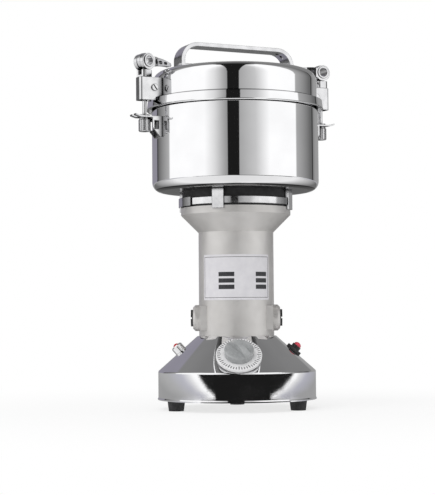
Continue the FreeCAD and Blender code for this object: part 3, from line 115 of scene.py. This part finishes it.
class Graph:
    """Adds nodes to one node tree and joins them, so that a material reads as a short list."""

    def __init__(self, tree):
        self.tree = tree
        tree.nodes.clear()

    def feed(self, socket, value):
        if isinstance(value, bpy.types.NodeSocket):
            self.tree.links.new(value, socket)
        else:
            socket.default_value = value

    def node(self, kind, inputs=None, **settings):
        made = self.tree.nodes.new("ShaderNode" + kind)
        for name, value in settings.items():
            setattr(made, name, value)
        for key, value in (inputs or {}).items():
            self.feed(made.inputs[key], value)
        return made

    def math(self, operation, *values):
        made = self.node("Math", operation=operation)
        for index, value in enumerate(values):
            self.feed(made.inputs[index], value)
        return made.outputs[0]

    def ramp(self, share, stops):
        """Return a colour that runs through stops of (share, colour)."""
        made = self.node("ValToRGB", {"Fac": share})
        elements = made.color_ramp.elements
        elements[0].position = stops[0][0]
        elements[0].color = rgba(stops[0][1])
        elements[1].position = stops[-1][0]
        elements[1].color = rgba(stops[-1][1])
        for place, colour in stops[1:-1]:
            elements.new(place).color = rgba(colour)
        return made.outputs["Color"]

    def remap(self, value, low, high, new_low=0.0, new_high=1.0, smooth=False):
        kind = "SMOOTHSTEP" if smooth else "LINEAR"
        made = self.node("MapRange", interpolation_type=kind)
        for index, number in enumerate((value, low, high, new_low, new_high)):
            self.feed(made.inputs[index], number)
        return made.outputs["Result"]

    def blend(self, share, first, second):
        """Return a colour between first and second."""
        made = self.node("Mix", data_type="RGBA")
        self.feed(made.inputs["Factor"], share)
        self.feed(made.inputs[6], first if isinstance(first, bpy.types.NodeSocket) else rgba(first))
        self.feed(made.inputs[7], second if isinstance(second, bpy.types.NodeSocket) else rgba(second))
        return made.outputs[2]

    def place(self, stretch=(1.0, 1.0, 1.0)):
        """Return the point on the surface in metres, stretched along the axes."""
        point = self.node("TexCoord").outputs["Object"]
        return self.node("Mapping", {"Vector": point, "Scale": stretch}).outputs["Vector"]

    def noise(self, size, detail=3.0, stretch=(1.0, 1.0, 1.0)):
        """Return noise from 0 to 1 whose spots are about size metres across."""
        inputs = {"Vector": self.place(stretch), "Scale": 1.0 / size, "Detail": detail}
        return self.node("TexNoise", inputs).outputs["Fac"]

    def bump(self, height, strength, distance, under=None):
        inputs = {"Height": height, "Strength": strength, "Distance": distance}
        if under is not None:
            inputs["Normal"] = under
        return self.node("Bump", inputs).outputs["Normal"]


# How alike a rounded and a flat normal are at an edge and on a flat; these set where the steel's edges
# get a painted dark reflection
edge_likeness, flat_likeness = 0.82, 0.985
# How much open sky a point sees in a hole and in the open; these set where painted shade darkens the
# steel's holes and corners
hole_sky, open_sky = 0.35, 0.85


def painted_edge_outline_share(graph, radius):
    """Return 0 along a piece's edges and 1 on its flats, over a band as wide as radius. The 0 marks
    where a dark reflection is painted along the edges.
    """
    rounded = graph.node("Bevel", {"Radius": radius}, samples=6).outputs["Normal"]
    flat = graph.node("NewGeometry").outputs["Normal"]
    facing = graph.node("VectorMath", {0: rounded, 1: flat}, operation="DOT_PRODUCT")
    return graph.remap(facing.outputs["Value"], edge_likeness, flat_likeness)


def painted_hollow_shade_share(graph, reach):
    """Return 0 in holes and corners and 1 in the open, for hollows about as deep as reach. The 0 marks
    where painted shade goes.
    """
    made = graph.node("AmbientOcclusion", {"Distance": reach}, samples=8)
    return graph.remap(made.outputs["AO"], hole_sky, open_sky)


def new_material(name, colour, roughness, normal=None, **uniform):
    """Return a material. The makers give its colour, roughness and relief, and the uniform
    numbers go on the shader's own sockets."""
    material = bpy.data.materials.new(name)
    material.use_nodes = True
    graph = Graph(material.node_tree)
    shader = graph.node("BsdfPrincipled")
    for key, value in uniform.items():
        shader.inputs[key.replace("_", " ").title().replace("Ior", "IOR")].default_value = value
    output = graph.node("OutputMaterial")
    graph.tree.links.new(shader.outputs["BSDF"], output.inputs["Surface"])
    graph.feed(shader.inputs["Base Color"], colour(graph))
    graph.feed(shader.inputs["Roughness"], roughness(graph))
    if normal is not None:
        graph.feed(shader.inputs["Normal"], normal(graph))
    return material


def mottled(dark, light, size, detail=3.0, stretch=(1.0, 1.0, 1.0)):
    """Return a colour maker that drifts between two colours in soft spots."""
    def colour(graph):
        share = graph.remap(graph.noise(size, detail, stretch), 0.32, 0.68)
        return graph.blend(share, dark, light)
    return colour


def uneven(low, high, size, detail=4.0, stretch=(1.0, 1.0, 1.0)):
    """Return a roughness maker between low and high."""
    def roughness(graph):
        return graph.remap(graph.noise(size, detail, stretch), 0.3, 0.7, low, high)
    return roughness


def grain(size, strength, distance, detail=2.0, stretch=(1.0, 1.0, 1.0)):
    """Return a relief maker with one layer of noise."""
    def normal(graph):
        return graph.bump(graph.noise(size, detail, stretch), strength, distance)
    return normal


def spun(lines, lines_strength, dents, dents_strength):
    """Return a relief maker for spun sheet: fine lines round the axis over broad soft dents."""
    def normal(graph):
        broad = graph.bump(graph.noise(dents, 1.0), dents_strength, 1 * mm)
        fine = graph.noise(lines, 2.0, (0.02, 0.02, 1.0))
        return graph.bump(fine, lines_strength, 0.05 * mm, broad)
    return normal


def in_band(graph, value, low, high, soft=0.1 * mm):
    """Return 1 where a value lies between low and high."""
    over = graph.remap(value, low - soft, low + soft)
    under = graph.remap(value, high - soft, high + soft, 1.0, 0.0)
    return graph.math("MULTIPLY", over, under)


# Materials of the record's slots and of the new pieces

def chrome_sheet():
    """Return the polished sheet, with painted shade at the seam over the lid's skirt and a painted dark
    reflection on the bowl's bottom.
    """
    def colour(graph):
        face = mottled((0.86, 0.86, 0.87), (0.91, 0.91, 0.92), 30 * mm)(graph)
        x, y, z = graph.node("SeparateXYZ", {0: graph.place()}).outputs
        # Painted shade: a near-black band at the seam stands for the shaded gap and the dark reflection
        # of the skirt's rounded edge
        seamed = graph.blend(in_band(graph, z, seam_low, seam_high), face, (0.05, 0.05, 0.052))
        squares = graph.math("ADD", graph.math("POWER", x, 2.0), graph.math("POWER", y, 2.0))
        radius = graph.math("SQRT", squares)
        # Painted reflection: the bowl's bottom is dark, lighter outward, for the dark surroundings that
        # it reflects, with a painted dark line along its top
        bottom_low = bowl_bottom - 1 * mm
        outward = graph.remap(radius, painted_bottom_inner_radius, painted_bottom_outer_radius)
        bottom_reflection = graph.blend(outward, (0.03, 0.03, 0.03), (0.24, 0.24, 0.24))
        bottomed = graph.blend(in_band(graph, z, bottom_low, painted_bottom_top), seamed, bottom_reflection)
        line = in_band(graph, z, painted_bottom_top - painted_bottom_line, painted_bottom_top)
        return graph.blend(line, bottomed, (0.03, 0.03, 0.032))
    return new_material(
        "chrome_sheet",
        colour,
        uneven(0.012, 0.040, 22 * mm, 6.0),
        spun(0.25 * mm, 0.015, 60 * mm, 0.012),
        metallic=1.0,
    )


def polished_steel():
    """Return the small clamp parts' steel, with a painted dark reflection along its edges and painted
    shade inside its holes.
    """
    def colour(graph):
        face = mottled((0.66, 0.66, 0.67), (0.80, 0.80, 0.81), 8 * mm)(graph)
        # Painted reflection: the edges are darkened to stand for the dark surroundings that rounded
        # edges reflect
        edged = graph.blend(painted_edge_outline_share(graph, 0.9 * mm), (0.07, 0.07, 0.073), face)
        # Painted shade: holes and corners are darkened by how little open sky they see
        return graph.blend(painted_hollow_shade_share(graph, 5 * mm), (0.035, 0.035, 0.038), edged)
    return new_material(
        "polished_steel",
        colour,
        uneven(0.08, 0.18, 5 * mm, 6.0),
        grain(0.4 * mm, 0.12, 0.04 * mm, 3.0, (1.0, 1.0, 0.15)),
        metallic=1.0,
    )


def machined_steel():
    return new_material(
        "machined_steel",
        mottled((0.60, 0.60, 0.61), (0.74, 0.74, 0.75), 4 * mm),
        uneven(0.22, 0.36, 2 * mm),
        grain(0.3 * mm, 0.25, 0.05 * mm, 2.0, (0.1, 0.1, 1.0)),
        metallic=1.0,
    )


def cast_silver():
    return new_material(
        "cast_silver",
        mottled((0.60, 0.585, 0.57), (0.70, 0.685, 0.67), 24 * mm, 5.0),
        uneven(0.34, 0.46, 3 * mm, 5.0),
        grain(0.7 * mm, 0.12, 0.1 * mm, 4.0),
        metallic=0.65,
    )


def plate_steel():
    return new_material(
        "plate_steel",
        mottled((0.50, 0.51, 0.50), (0.66, 0.66, 0.62), 18 * mm, 6.0),
        uneven(0.28, 0.45, 6 * mm),
        grain(1.2 * mm, 0.12, 0.1 * mm),
        metallic=1.0,
    )


def black_rubber():
    return new_material(
        "black_rubber",
        mottled((0.012, 0.012, 0.013), (0.028, 0.028, 0.029), 6 * mm, 5.0),
        uneven(0.42, 0.62, 4 * mm),
        grain(0.5 * mm, 0.20, 0.08 * mm, 3.0),
        specular_ior_level=0.4,
    )


def gasket_rubber():
    return new_material(
        "gasket_rubber",
        mottled((0.62, 0.61, 0.58), (0.72, 0.71, 0.68), 7 * mm),
        uneven(0.38, 0.55, 3 * mm),
        grain(0.6 * mm, 0.15, 0.08 * mm),
        subsurface_weight=0.15,
    )


def black_plastic():
    return new_material(
        "black_plastic",
        mottled((0.010, 0.010, 0.011), (0.020, 0.020, 0.021), 5 * mm),
        uneven(0.26, 0.40, 3 * mm),
        grain(0.35 * mm, 0.18, 0.06 * mm),
        specular_ior_level=0.5,
    )


def holder_plastic():
    return new_material(
        "holder_plastic",
        mottled((0.09, 0.035, 0.016), (0.15, 0.06, 0.028), 3 * mm, 6.0),
        uneven(0.30, 0.42, 2 * mm),
        grain(0.5 * mm, 0.15, 0.05 * mm),
        specular_ior_level=0.5,
    )


def carbon():
    return new_material(
        "carbon",
        mottled((0.018, 0.018, 0.020), (0.045, 0.045, 0.048), 0.8 * mm, 6.0),
        uneven(0.48, 0.70, 1 * mm),
        grain(0.25 * mm, 0.35, 0.06 * mm),
        specular_ior_level=0.4,
    )


def spring_steel():
    return new_material(
        "spring_steel",
        mottled((0.42, 0.41, 0.40), (0.56, 0.55, 0.53), 2 * mm),
        uneven(0.20, 0.34, 1 * mm),
        grain(0.2 * mm, 0.20, 0.04 * mm),
        metallic=1.0,
    )


def laminated_steel():
    def sheets(graph):
        wave = graph.node(
            "TexWave",
            {"Vector": graph.place(), "Scale": 314.0, "Distortion": 0.3},
            bands_direction="Z",
        )
        return graph.bump(wave.outputs["Fac"], 0.5, 0.15 * mm)
    return new_material(
        "laminated_steel",
        mottled((0.22, 0.21, 0.20), (0.36, 0.34, 0.32), 4 * mm, 6.0),
        uneven(0.38, 0.55, 2 * mm),
        sheets,
        metallic=1.0,
    )


def copper_wire():
    def turns(graph):
        wave = graph.node(
            "TexWave",
            {"Vector": graph.place(), "Scale": 420.0, "Distortion": 0.8, "Detail": 1.0},
            bands_direction="DIAGONAL",
        )
        return graph.bump(wave.outputs["Fac"], 0.7, 0.25 * mm)
    return new_material(
        "copper_wire",
        mottled((0.42, 0.13, 0.05), (0.66, 0.27, 0.12), 1.2 * mm, 4.0),
        uneven(0.20, 0.34, 1 * mm),
        turns,
        metallic=1.0,
        coat_weight=0.6,
    )


def copper_bars():
    return new_material(
        "copper_bars",
        mottled((0.55, 0.22, 0.11), (0.78, 0.38, 0.22), 1.5 * mm, 5.0),
        uneven(0.22, 0.40, 0.8 * mm),
        grain(0.2 * mm, 0.25, 0.04 * mm, 2.0, (0.1, 0.1, 1.0)),
        metallic=1.0,
    )


def white_plastic():
    return new_material(
        "white_plastic",
        mottled((0.74, 0.74, 0.75), (0.80, 0.80, 0.805), 9 * mm),
        uneven(0.24, 0.34, 4 * mm),
        grain(0.5 * mm, 0.06, 0.05 * mm),
        specular_ior_level=0.5,
        coat_weight=0.2,
    )


def grey_plastic():
    return new_material(
        "grey_plastic",
        mottled((0.28, 0.29, 0.295), (0.36, 0.37, 0.375), 7 * mm, 5.0),
        uneven(0.20, 0.32, 3 * mm),
        grain(0.6 * mm, 0.06, 0.05 * mm),
        specular_ior_level=0.5,
        coat_weight=0.5,
    )


def red_lens():
    def rings(graph):
        wave = graph.node(
            "TexWave",
            {"Vector": graph.place(), "Scale": 260.0},
            bands_direction="DIAGONAL",
        )
        return graph.bump(wave.outputs["Fac"], 0.15, 0.1 * mm)
    return new_material(
        "red_lens",
        mottled((0.42, 0.005, 0.008), (0.62, 0.012, 0.014), 3 * mm),
        uneven(0.05, 0.12, 2 * mm),
        rings,
        coat_weight=0.7,
        subsurface_weight=0.2,
    )


def red_button():
    return new_material(
        "red_button",
        mottled((0.58, 0.035, 0.07), (0.72, 0.06, 0.10), 3 * mm),
        uneven(0.20, 0.34, 2 * mm),
        grain(0.4 * mm, 0.08, 0.04 * mm),
        coat_weight=0.3,
    )


def print_ink():
    """Return the dark ink of the plate's fields and the dial's marks."""
    return new_material(
        "print_ink",
        mottled((0.015, 0.015, 0.018), (0.035, 0.035, 0.040), 1.5 * mm, 5.0),
        uneven(0.35, 0.5, 1 * mm),
        grain(0.3 * mm, 0.15, 0.03 * mm),
    )


def plate_enamel():
    """Return the name plate's pale grey-white enamel."""
    return new_material(
        "plate_enamel",
        mottled((0.66, 0.65, 0.68), (0.72, 0.71, 0.735), 8 * mm, 5.0),
        uneven(0.28, 0.42, 5 * mm),
        grain(0.5 * mm, 0.08, 0.05 * mm),
        coat_weight=0.2,
    )


makers = [
    chrome_sheet, polished_steel, machined_steel, cast_silver, plate_steel, black_rubber,
    gasket_rubber, black_plastic, holder_plastic, carbon, spring_steel, laminated_steel,
    copper_wire, copper_bars, white_plastic, grey_plastic, red_lens, red_button,
]
finishes = {maker.__name__: maker() for maker in makers}
ink = print_ink()
enamel = plate_enamel()


def dress_cad_nodes():
    """Give each CAD node the node material of the slot that it was packed with."""
    for node in nodes.values():
        for slot in node.material_slots:
            name = slot.material.name.split(".")[0]
            slot.material = finishes[name]


# New pieces

def add_piece(name, mesh, material, body):
    """Put a finished mesh in the scene and hang it on its CAD body."""
    bm = bmesh.new()
    bm.from_mesh(mesh)
    bmesh.ops.recalc_face_normals(bm, faces=bm.faces)
    bm.to_mesh(mesh)
    bm.free()
    mesh.materials.append(material)
    piece = bpy.data.objects.new(name, mesh)
    bpy.context.scene.collection.objects.link(piece)
    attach(piece, body)
    return piece


def neck_radius():
    """Return the outer radius of the neck, read just where the flare begins."""
    points = [vertex.co for vertex in nodes["neck_casting"].data.vertices]
    ring = [co for co in points if abs(co.z - flare_start) < flare_reach]
    return max(Vector((co.x, co.y)).length for co in ring)


corner_steps = 6


def wrapped_sheet(bm, radius, thickness, low, high, from_angle, to_angle, corner=0.0, steps=48):
    """Add a thin sheet that lies on a cylinder, between two heights and two angles from the front.

    Its corners are cut back by rounded steps, so that the outline is a rounded rectangle.
    """
    width = radius * math.radians(to_angle - from_angle)

    def edge(share):
        """Return how far the top and bottom draw in at this share of the width."""
        nearest = min(share, 1 - share) * width
        if corner <= 0 or nearest >= corner:
            return 0.0
        return corner - math.sqrt(max(corner ** 2 - (corner - nearest) ** 2, 0.0))

    shares = [index / steps for index in range(steps + 1)]
    if corner > 0:
        turns = [math.pi / 2 * step / corner_steps for step in range(1, corner_steps + 1)]
        rounds = [corner * (1 - math.cos(turn)) / width for turn in turns]
        shares = sorted(set(shares + rounds + [1 - s for s in rounds]))
    columns = []
    for share in shares:
        angle = math.radians(from_angle + share * (to_angle - from_angle))
        draw_in = edge(share)
        column = []
        for r in (radius, radius + thickness):
            for z in (low + draw_in, high - draw_in):
                column.append(bm.verts.new((r * math.sin(angle), -r * math.cos(angle), z)))
        columns.append(column)
    for left, right in zip(columns, columns[1:]):
        for a, b in ((0, 1), (1, 3), (3, 2), (2, 0)):
            bm.faces.new((left[a], left[b], right[b], right[a]))
    for column in (columns[0], columns[-1]):
        bm.faces.new((column[0], column[1], column[3], column[2]))


def mesh_from(bm, name):
    mesh = bpy.data.meshes.new(name)
    bmesh.ops.remove_doubles(bm, verts=bm.verts, dist=1e-7)
    bm.to_mesh(mesh)
    bm.free()
    return mesh


def make_name_plate():
    radius = neck_radius() + plate_gap
    bm = bmesh.new()
    wrapped_sheet(
        bm, radius, plate_thickness, plate_low, plate_high,
        -plate_half_angle, plate_half_angle, plate_corner, plate_steps,
    )
    add_piece("name_plate", mesh_from(bm, "name_plate"), enamel, "base")
    face = radius + plate_thickness
    width = 2 * plate_half_angle
    height = plate_high - plate_low

    bm = bmesh.new()
    line = frame_line
    side = math.degrees(frame_side_inset / radius)
    line_angle = math.degrees(line / radius)
    low, high = plate_low + frame_inset, plate_high - frame_inset
    left, right = -plate_half_angle + side, plate_half_angle - side
    wrapped_sheet(bm, face, print_thickness, high - line, high, left, right)
    wrapped_sheet(bm, face, print_thickness, low, low + line, left, right)
    wrapped_sheet(bm, face, print_thickness, low + line, high - line, left, left + line_angle, 0, 2)
    wrapped_sheet(bm, face, print_thickness, low + line, high - line, right - line_angle, right, 0, 2)
    add_piece("name_plate_frame", mesh_from(bm, "name_plate_frame"), ink, "base")

    bm = bmesh.new()
    for column_from, column_to in field_columns:
        for row in range(field_rows):
            top = plate_high - height * (field_first_row + field_row_step * row)
            wrapped_sheet(
                bm, face, print_thickness, top - height * field_height, top,
                -plate_half_angle + column_from * width, -plate_half_angle + column_to * width, 0, 12,
            )
    add_piece("name_plate_fields", mesh_from(bm, "name_plate_fields"), ink, "base")


def dial_frame():
    """Return the matrix that stands a flat drawing on the dial's face, and the dial's radius."""
    vertices = [v.co for v in nodes["timer_dial"].data.vertices]
    joint = next(j for j in frame["joints"] if j["name"] == "timer_turn")
    axis = Vector(joint["axis"]).normalized()
    place = Vector(joint["pos_m"])
    face = max((co - place).dot(axis) for co in vertices)
    radius = max(((co - place) - axis * (co - place).dot(axis)).length for co in vertices)
    up = axis.cross(Vector((1, 0, 0))).normalized()
    across = up.cross(axis)
    turn = Matrix((across, up, axis)).transposed().to_4x4()
    return Matrix.Translation(place + axis * face) @ turn, radius


def add_bar(bm, centre, length, width, thickness, angle):
    """Add a flat bar that points away from the drawing's centre at the given angle."""
    turn = Matrix.Rotation(math.radians(angle), 4, "Z")
    corners = []
    for z in (0.0, thickness):
        for x, y in ((-1, -1), (1, -1), (1, 1), (-1, 1)):
            point = Vector((x * width / 2, centre + y * length / 2, z))
            corners.append(bm.verts.new(turn @ point))
    low, top = corners[:4], corners[4:]
    bm.faces.new(low[::-1])
    bm.faces.new(top)
    for index in range(4):
        following = (index + 1) % 4
        bm.faces.new((low[index], low[following], top[following], top[index]))


def make_dial_marks():
    matrix, radius = dial_frame()
    bm = bmesh.new()
    outer = radius - mark_inset
    for index in range(mark_count):
        length = mark_long if index % long_mark_every == 0 else mark_short
        add_bar(bm, outer - length / 2, length, mark_width, mark_thickness, 360 * index / mark_count)
    mesh = mesh_from(bm, "dial_marks")
    mesh.transform(matrix)
    add_piece("dial_marks", mesh, ink, "dial")


# Studio

white_panel = 1.10
gap_black = 0.012
lavender = (0.29, 0.28, 0.33)

# The dark gap between the two front panels: its sides, as a share of the room's half width,
# and how far each side opens out toward the ceiling
gap_left, gap_left_opens = -0.17, -0.03
gap_right, gap_right_opens = 0.09, 0.08
gap_softness = 0.010
gap_fades_from, gap_fades_to = -0.05, 0.85
gap_far = 0.29

# What polished metal sees round the horizon: azimuth to the right of the camera, and brightness
studio_walls = [
    (-180, lavender), (-137, lavender), (-136, gap_black), (-134, gap_black), (-133, 0.14),
    (-130, 0.16), (-104, 0.46), (-103, 0.50), (-101, white_panel), (-42, white_panel),
    (-28, 0.80), (-17, 0.48), (-10.5, 0.32), (-3, 0.32), (4.4, 0.40),
    (28, 0.62), (48, white_panel), (91.5, white_panel), (93, 0.44), (126, 0.15),
    (131.5, 0.14), (132.5, gap_black), (134.5, gap_black), (136, 0.24), (145, 0.34), (180, 0.36),
]
# The far table that the polished band of the base sees, just under the horizon
studio_table = [
    (-180, 0.36), (-130, 0.46), (-92, (0.52, 0.52, 0.58)), (-76, 0.85), (-70, white_panel),
    (-60.5, white_panel), (-58.5, 0.03), (-55, gap_black), (88, gap_black), (91, 0.03),
    (93.5, white_panel), (101, white_panel), (107, 0.80), (126, (0.48, 0.48, 0.54)), (180, 0.36),
]
# How much narrower its dark shape gets, by elevation
table_low, table_high = -3.5, -2.2
table_pinch = [
    (-3.5, 1.10), (-3.30, 1.12), (-3.18, 1.95), (-3.05, 1.72), (-2.86, 1.37), (-2.5, 1.12), (-2.2, 1.0),
]
# The near floor that the bowl's lower bend sees
studio_floor = [
    (-180, 0.16), (-150, 0.16), (-115, 0.55), (-90, 0.95), (0, 0.80), (90, 0.95), (115, 0.55),
    (150, 0.16), (180, 0.16),
]
studio_ceiling = [
    (-180, 0.25), (-135, 0.235), (-112, 0.18), (-98, 0.05), (98, 0.05), (112, 0.17),
    (135, 0.225), (180, 0.25),
]
# Elevation at which the walls end, as a share of a right angle
studio_wall_tops = [
    (-180, 40 / 90), (-140, 40 / 90), (-112, 60 / 90), (-100, 75 / 90),
    (100, 75 / 90), (115, 55 / 90), (140, 18 / 90), (180, 18 / 90),
]

# Elevations over which the floor, the table and the wall tops pass into what lies above
floor_end = (-4.6, -4.0)
table_end = (-1.6, -0.8)
wall_end_softness = 2
# The studio as dull pieces see it, and as the camera sees it
plain_level = 0.80
camera_white = 1.0

# The floor shows the shadow up to the first distance and is plain white past the second
floor_half = 6.0
floor_shadow_from = 0.12
floor_shadow_to = 0.55
# Its colour, and how much plain white covers its shadow near the object
floor_colour = 0.90
floor_cover = 0.70

# The soft lamp: its strength, and its softness, tilt and turn in degrees
key_energy = 0.9
key_softness = 50
key_tilt = 42
key_turn = -35


def degrees_share(azimuth):
    """Return where an azimuth lies on a ramp that goes once round the studio."""
    return (azimuth + 180) / 360


def round_the_room(stops):
    """Return stops of (azimuth, value) as stops of a ramp."""
    return [(degrees_share(azimuth), value) for azimuth, value in stops]


def gap_share(graph, x, y, z):
    """Return 1 inside the gap between the front panels, which runs on over the ceiling."""
    left = graph.math("MULTIPLY_ADD", z, gap_left_opens, gap_left)
    right = graph.math("MULTIPLY_ADD", z, gap_right_opens, gap_right)
    past_left = graph.math("SUBTRACT", x, left)
    past_right = graph.math("SUBTRACT", right, x)
    inside_left = graph.remap(past_left, -gap_softness, gap_softness, smooth=True)
    inside_right = graph.remap(past_right, -gap_softness, gap_softness, smooth=True)
    return graph.math("MULTIPLY", inside_left, inside_right)


def pinched_share(graph, share, elevation):
    """Return the azimuth's share with the table's dark shape drawn in toward its waist."""
    rise = graph.remap(elevation, math.radians(table_low), math.radians(table_high))
    span = table_high - table_low
    stops = [((angle - table_low) / span, pinch / 2) for angle, pinch in table_pinch]
    half_pinch = graph.ramp(rise, stops)
    pinch = graph.math("MULTIPLY", half_pinch, 2.0)
    off_centre = graph.math("SUBTRACT", share, 0.5)
    return graph.math("MULTIPLY_ADD", off_centre, pinch, 0.5)


def make_world():
    world = bpy.data.worlds.new("studio")
    world.use_nodes = True
    bpy.context.scene.world = world
    graph = Graph(world.node_tree)
    split = graph.node("SeparateXYZ", {"Vector": graph.node("TexCoord").outputs["Generated"]})
    x, y, z = split.outputs
    azimuth = graph.math("ARCTAN2", x, graph.math("MULTIPLY", y, -1.0))
    share = graph.math("MULTIPLY_ADD", azimuth, 1 / (2 * math.pi), 0.5)
    elevation = graph.math("ARCSINE", z)

    walls = graph.ramp(share, round_the_room(studio_walls))
    ceiling = graph.ramp(share, round_the_room(studio_ceiling))
    top_share = graph.ramp(share, round_the_room(studio_wall_tops))
    top = graph.math("MULTIPLY", top_share, math.pi / 2)
    above = graph.math("SUBTRACT", elevation, top)
    low_side, high_side = math.radians(-wall_end_softness), math.radians(wall_end_softness)
    over_wall = graph.remap(above, low_side, high_side, smooth=True)
    room = graph.blend(over_wall, walls, ceiling)
    gap = graph.remap(y, gap_fades_from, gap_fades_to, gap_black, gap_far)
    room = graph.blend(gap_share(graph, x, y, z), room, gap)

    table = graph.ramp(pinched_share(graph, share, elevation), round_the_room(studio_table))
    floor = graph.ramp(share, round_the_room(studio_floor))
    over_floor = graph.remap(elevation, *map(math.radians, floor_end), smooth=True)
    over_table = graph.remap(elevation, *map(math.radians, table_end), smooth=True)
    low = graph.blend(over_floor, floor, table)
    room = graph.blend(over_table, low, room)

    rays = graph.node("LightPath").outputs
    mirrored = graph.math("MAXIMUM", rays["Is Glossy Ray"], rays["Is Transmission Ray"])
    plain = graph.blend(rays["Is Camera Ray"], plain_level, camera_white)
    colour = graph.blend(mirrored, plain, room)
    background = graph.node("Background", {"Color": colour, "Strength": 1.0})
    output = graph.node("OutputWorld")
    graph.tree.links.new(background.outputs[0], output.inputs["Surface"])


def make_floor():
    """Make the pale floor. Polished metal looks through it at the studio, and it keeps the shadow."""
    bm = bmesh.new()
    bmesh.ops.create_grid(bm, x_segments=2, y_segments=2, size=floor_half)
    mesh = mesh_from(bm, "floor")
    floor = bpy.data.objects.new("floor", mesh)
    bpy.context.scene.collection.objects.link(floor)
    material = bpy.data.materials.new("pale_floor")
    material.use_nodes = True
    graph = Graph(material.node_tree)
    matt = graph.node("BsdfDiffuse", {"Color": rgba(floor_colour)})
    glow = graph.node("Emission", {"Color": rgba(1.0), "Strength": 1.0})
    rays = graph.node("LightPath").outputs
    from_middle = graph.node("VectorMath", {0: graph.place()}, operation="LENGTH").outputs["Value"]
    white = graph.remap(from_middle, floor_shadow_from, floor_shadow_to, floor_cover, 1.0, smooth=True)
    seen = graph.math("MULTIPLY", rays["Is Camera Ray"], white)
    surface = graph.node("MixShader", {0: seen, 1: matt.outputs[0], 2: glow.outputs[0]})
    through = graph.node("BsdfTransparent")
    mirrored = graph.math("MAXIMUM", rays["Is Glossy Ray"], rays["Is Transmission Ray"])
    final = graph.node("MixShader", {0: mirrored, 1: surface.outputs[0], 2: through.outputs[0]})
    output = graph.node("OutputMaterial")
    graph.tree.links.new(final.outputs[0], output.inputs["Surface"])
    mesh.materials.append(material)


def make_key_light():
    lamp = bpy.data.lights.new("key", "SUN")
    lamp.energy = key_energy
    lamp.angle = math.radians(key_softness)
    key = bpy.data.objects.new("key", lamp)
    bpy.context.scene.collection.objects.link(key)
    key.rotation_euler = (math.radians(key_tilt), 0, math.radians(key_turn))
    key.visible_glossy = False


def make_camera():
    lens = bpy.data.cameras.new("camera")
    lens.lens = camera_lens
    lens.sensor_width = sensor_width
    lens.sensor_fit = "AUTO"
    lens.clip_start = camera_near
    lens.clip_end = camera_far
    camera = bpy.data.objects.new("camera", lens)
    bpy.context.scene.collection.objects.link(camera)
    aim = Matrix.Rotation(math.radians(camera_yaw), 4, "Z")
    aim = aim @ Matrix.Rotation(math.radians(90 + camera_pitch), 4, "X")
    aim = aim @ Matrix.Rotation(math.radians(camera_roll), 4, "Z")
    camera.matrix_world = Matrix.Translation((0, -camera_distance, camera_height)) @ aim
    bpy.context.scene.camera = camera


dress_cad_nodes()
make_name_plate()
make_dial_marks()
make_world()
make_floor()
make_key_light()
make_camera()
bpy.context.scene.view_settings.view_transform = "Standard"
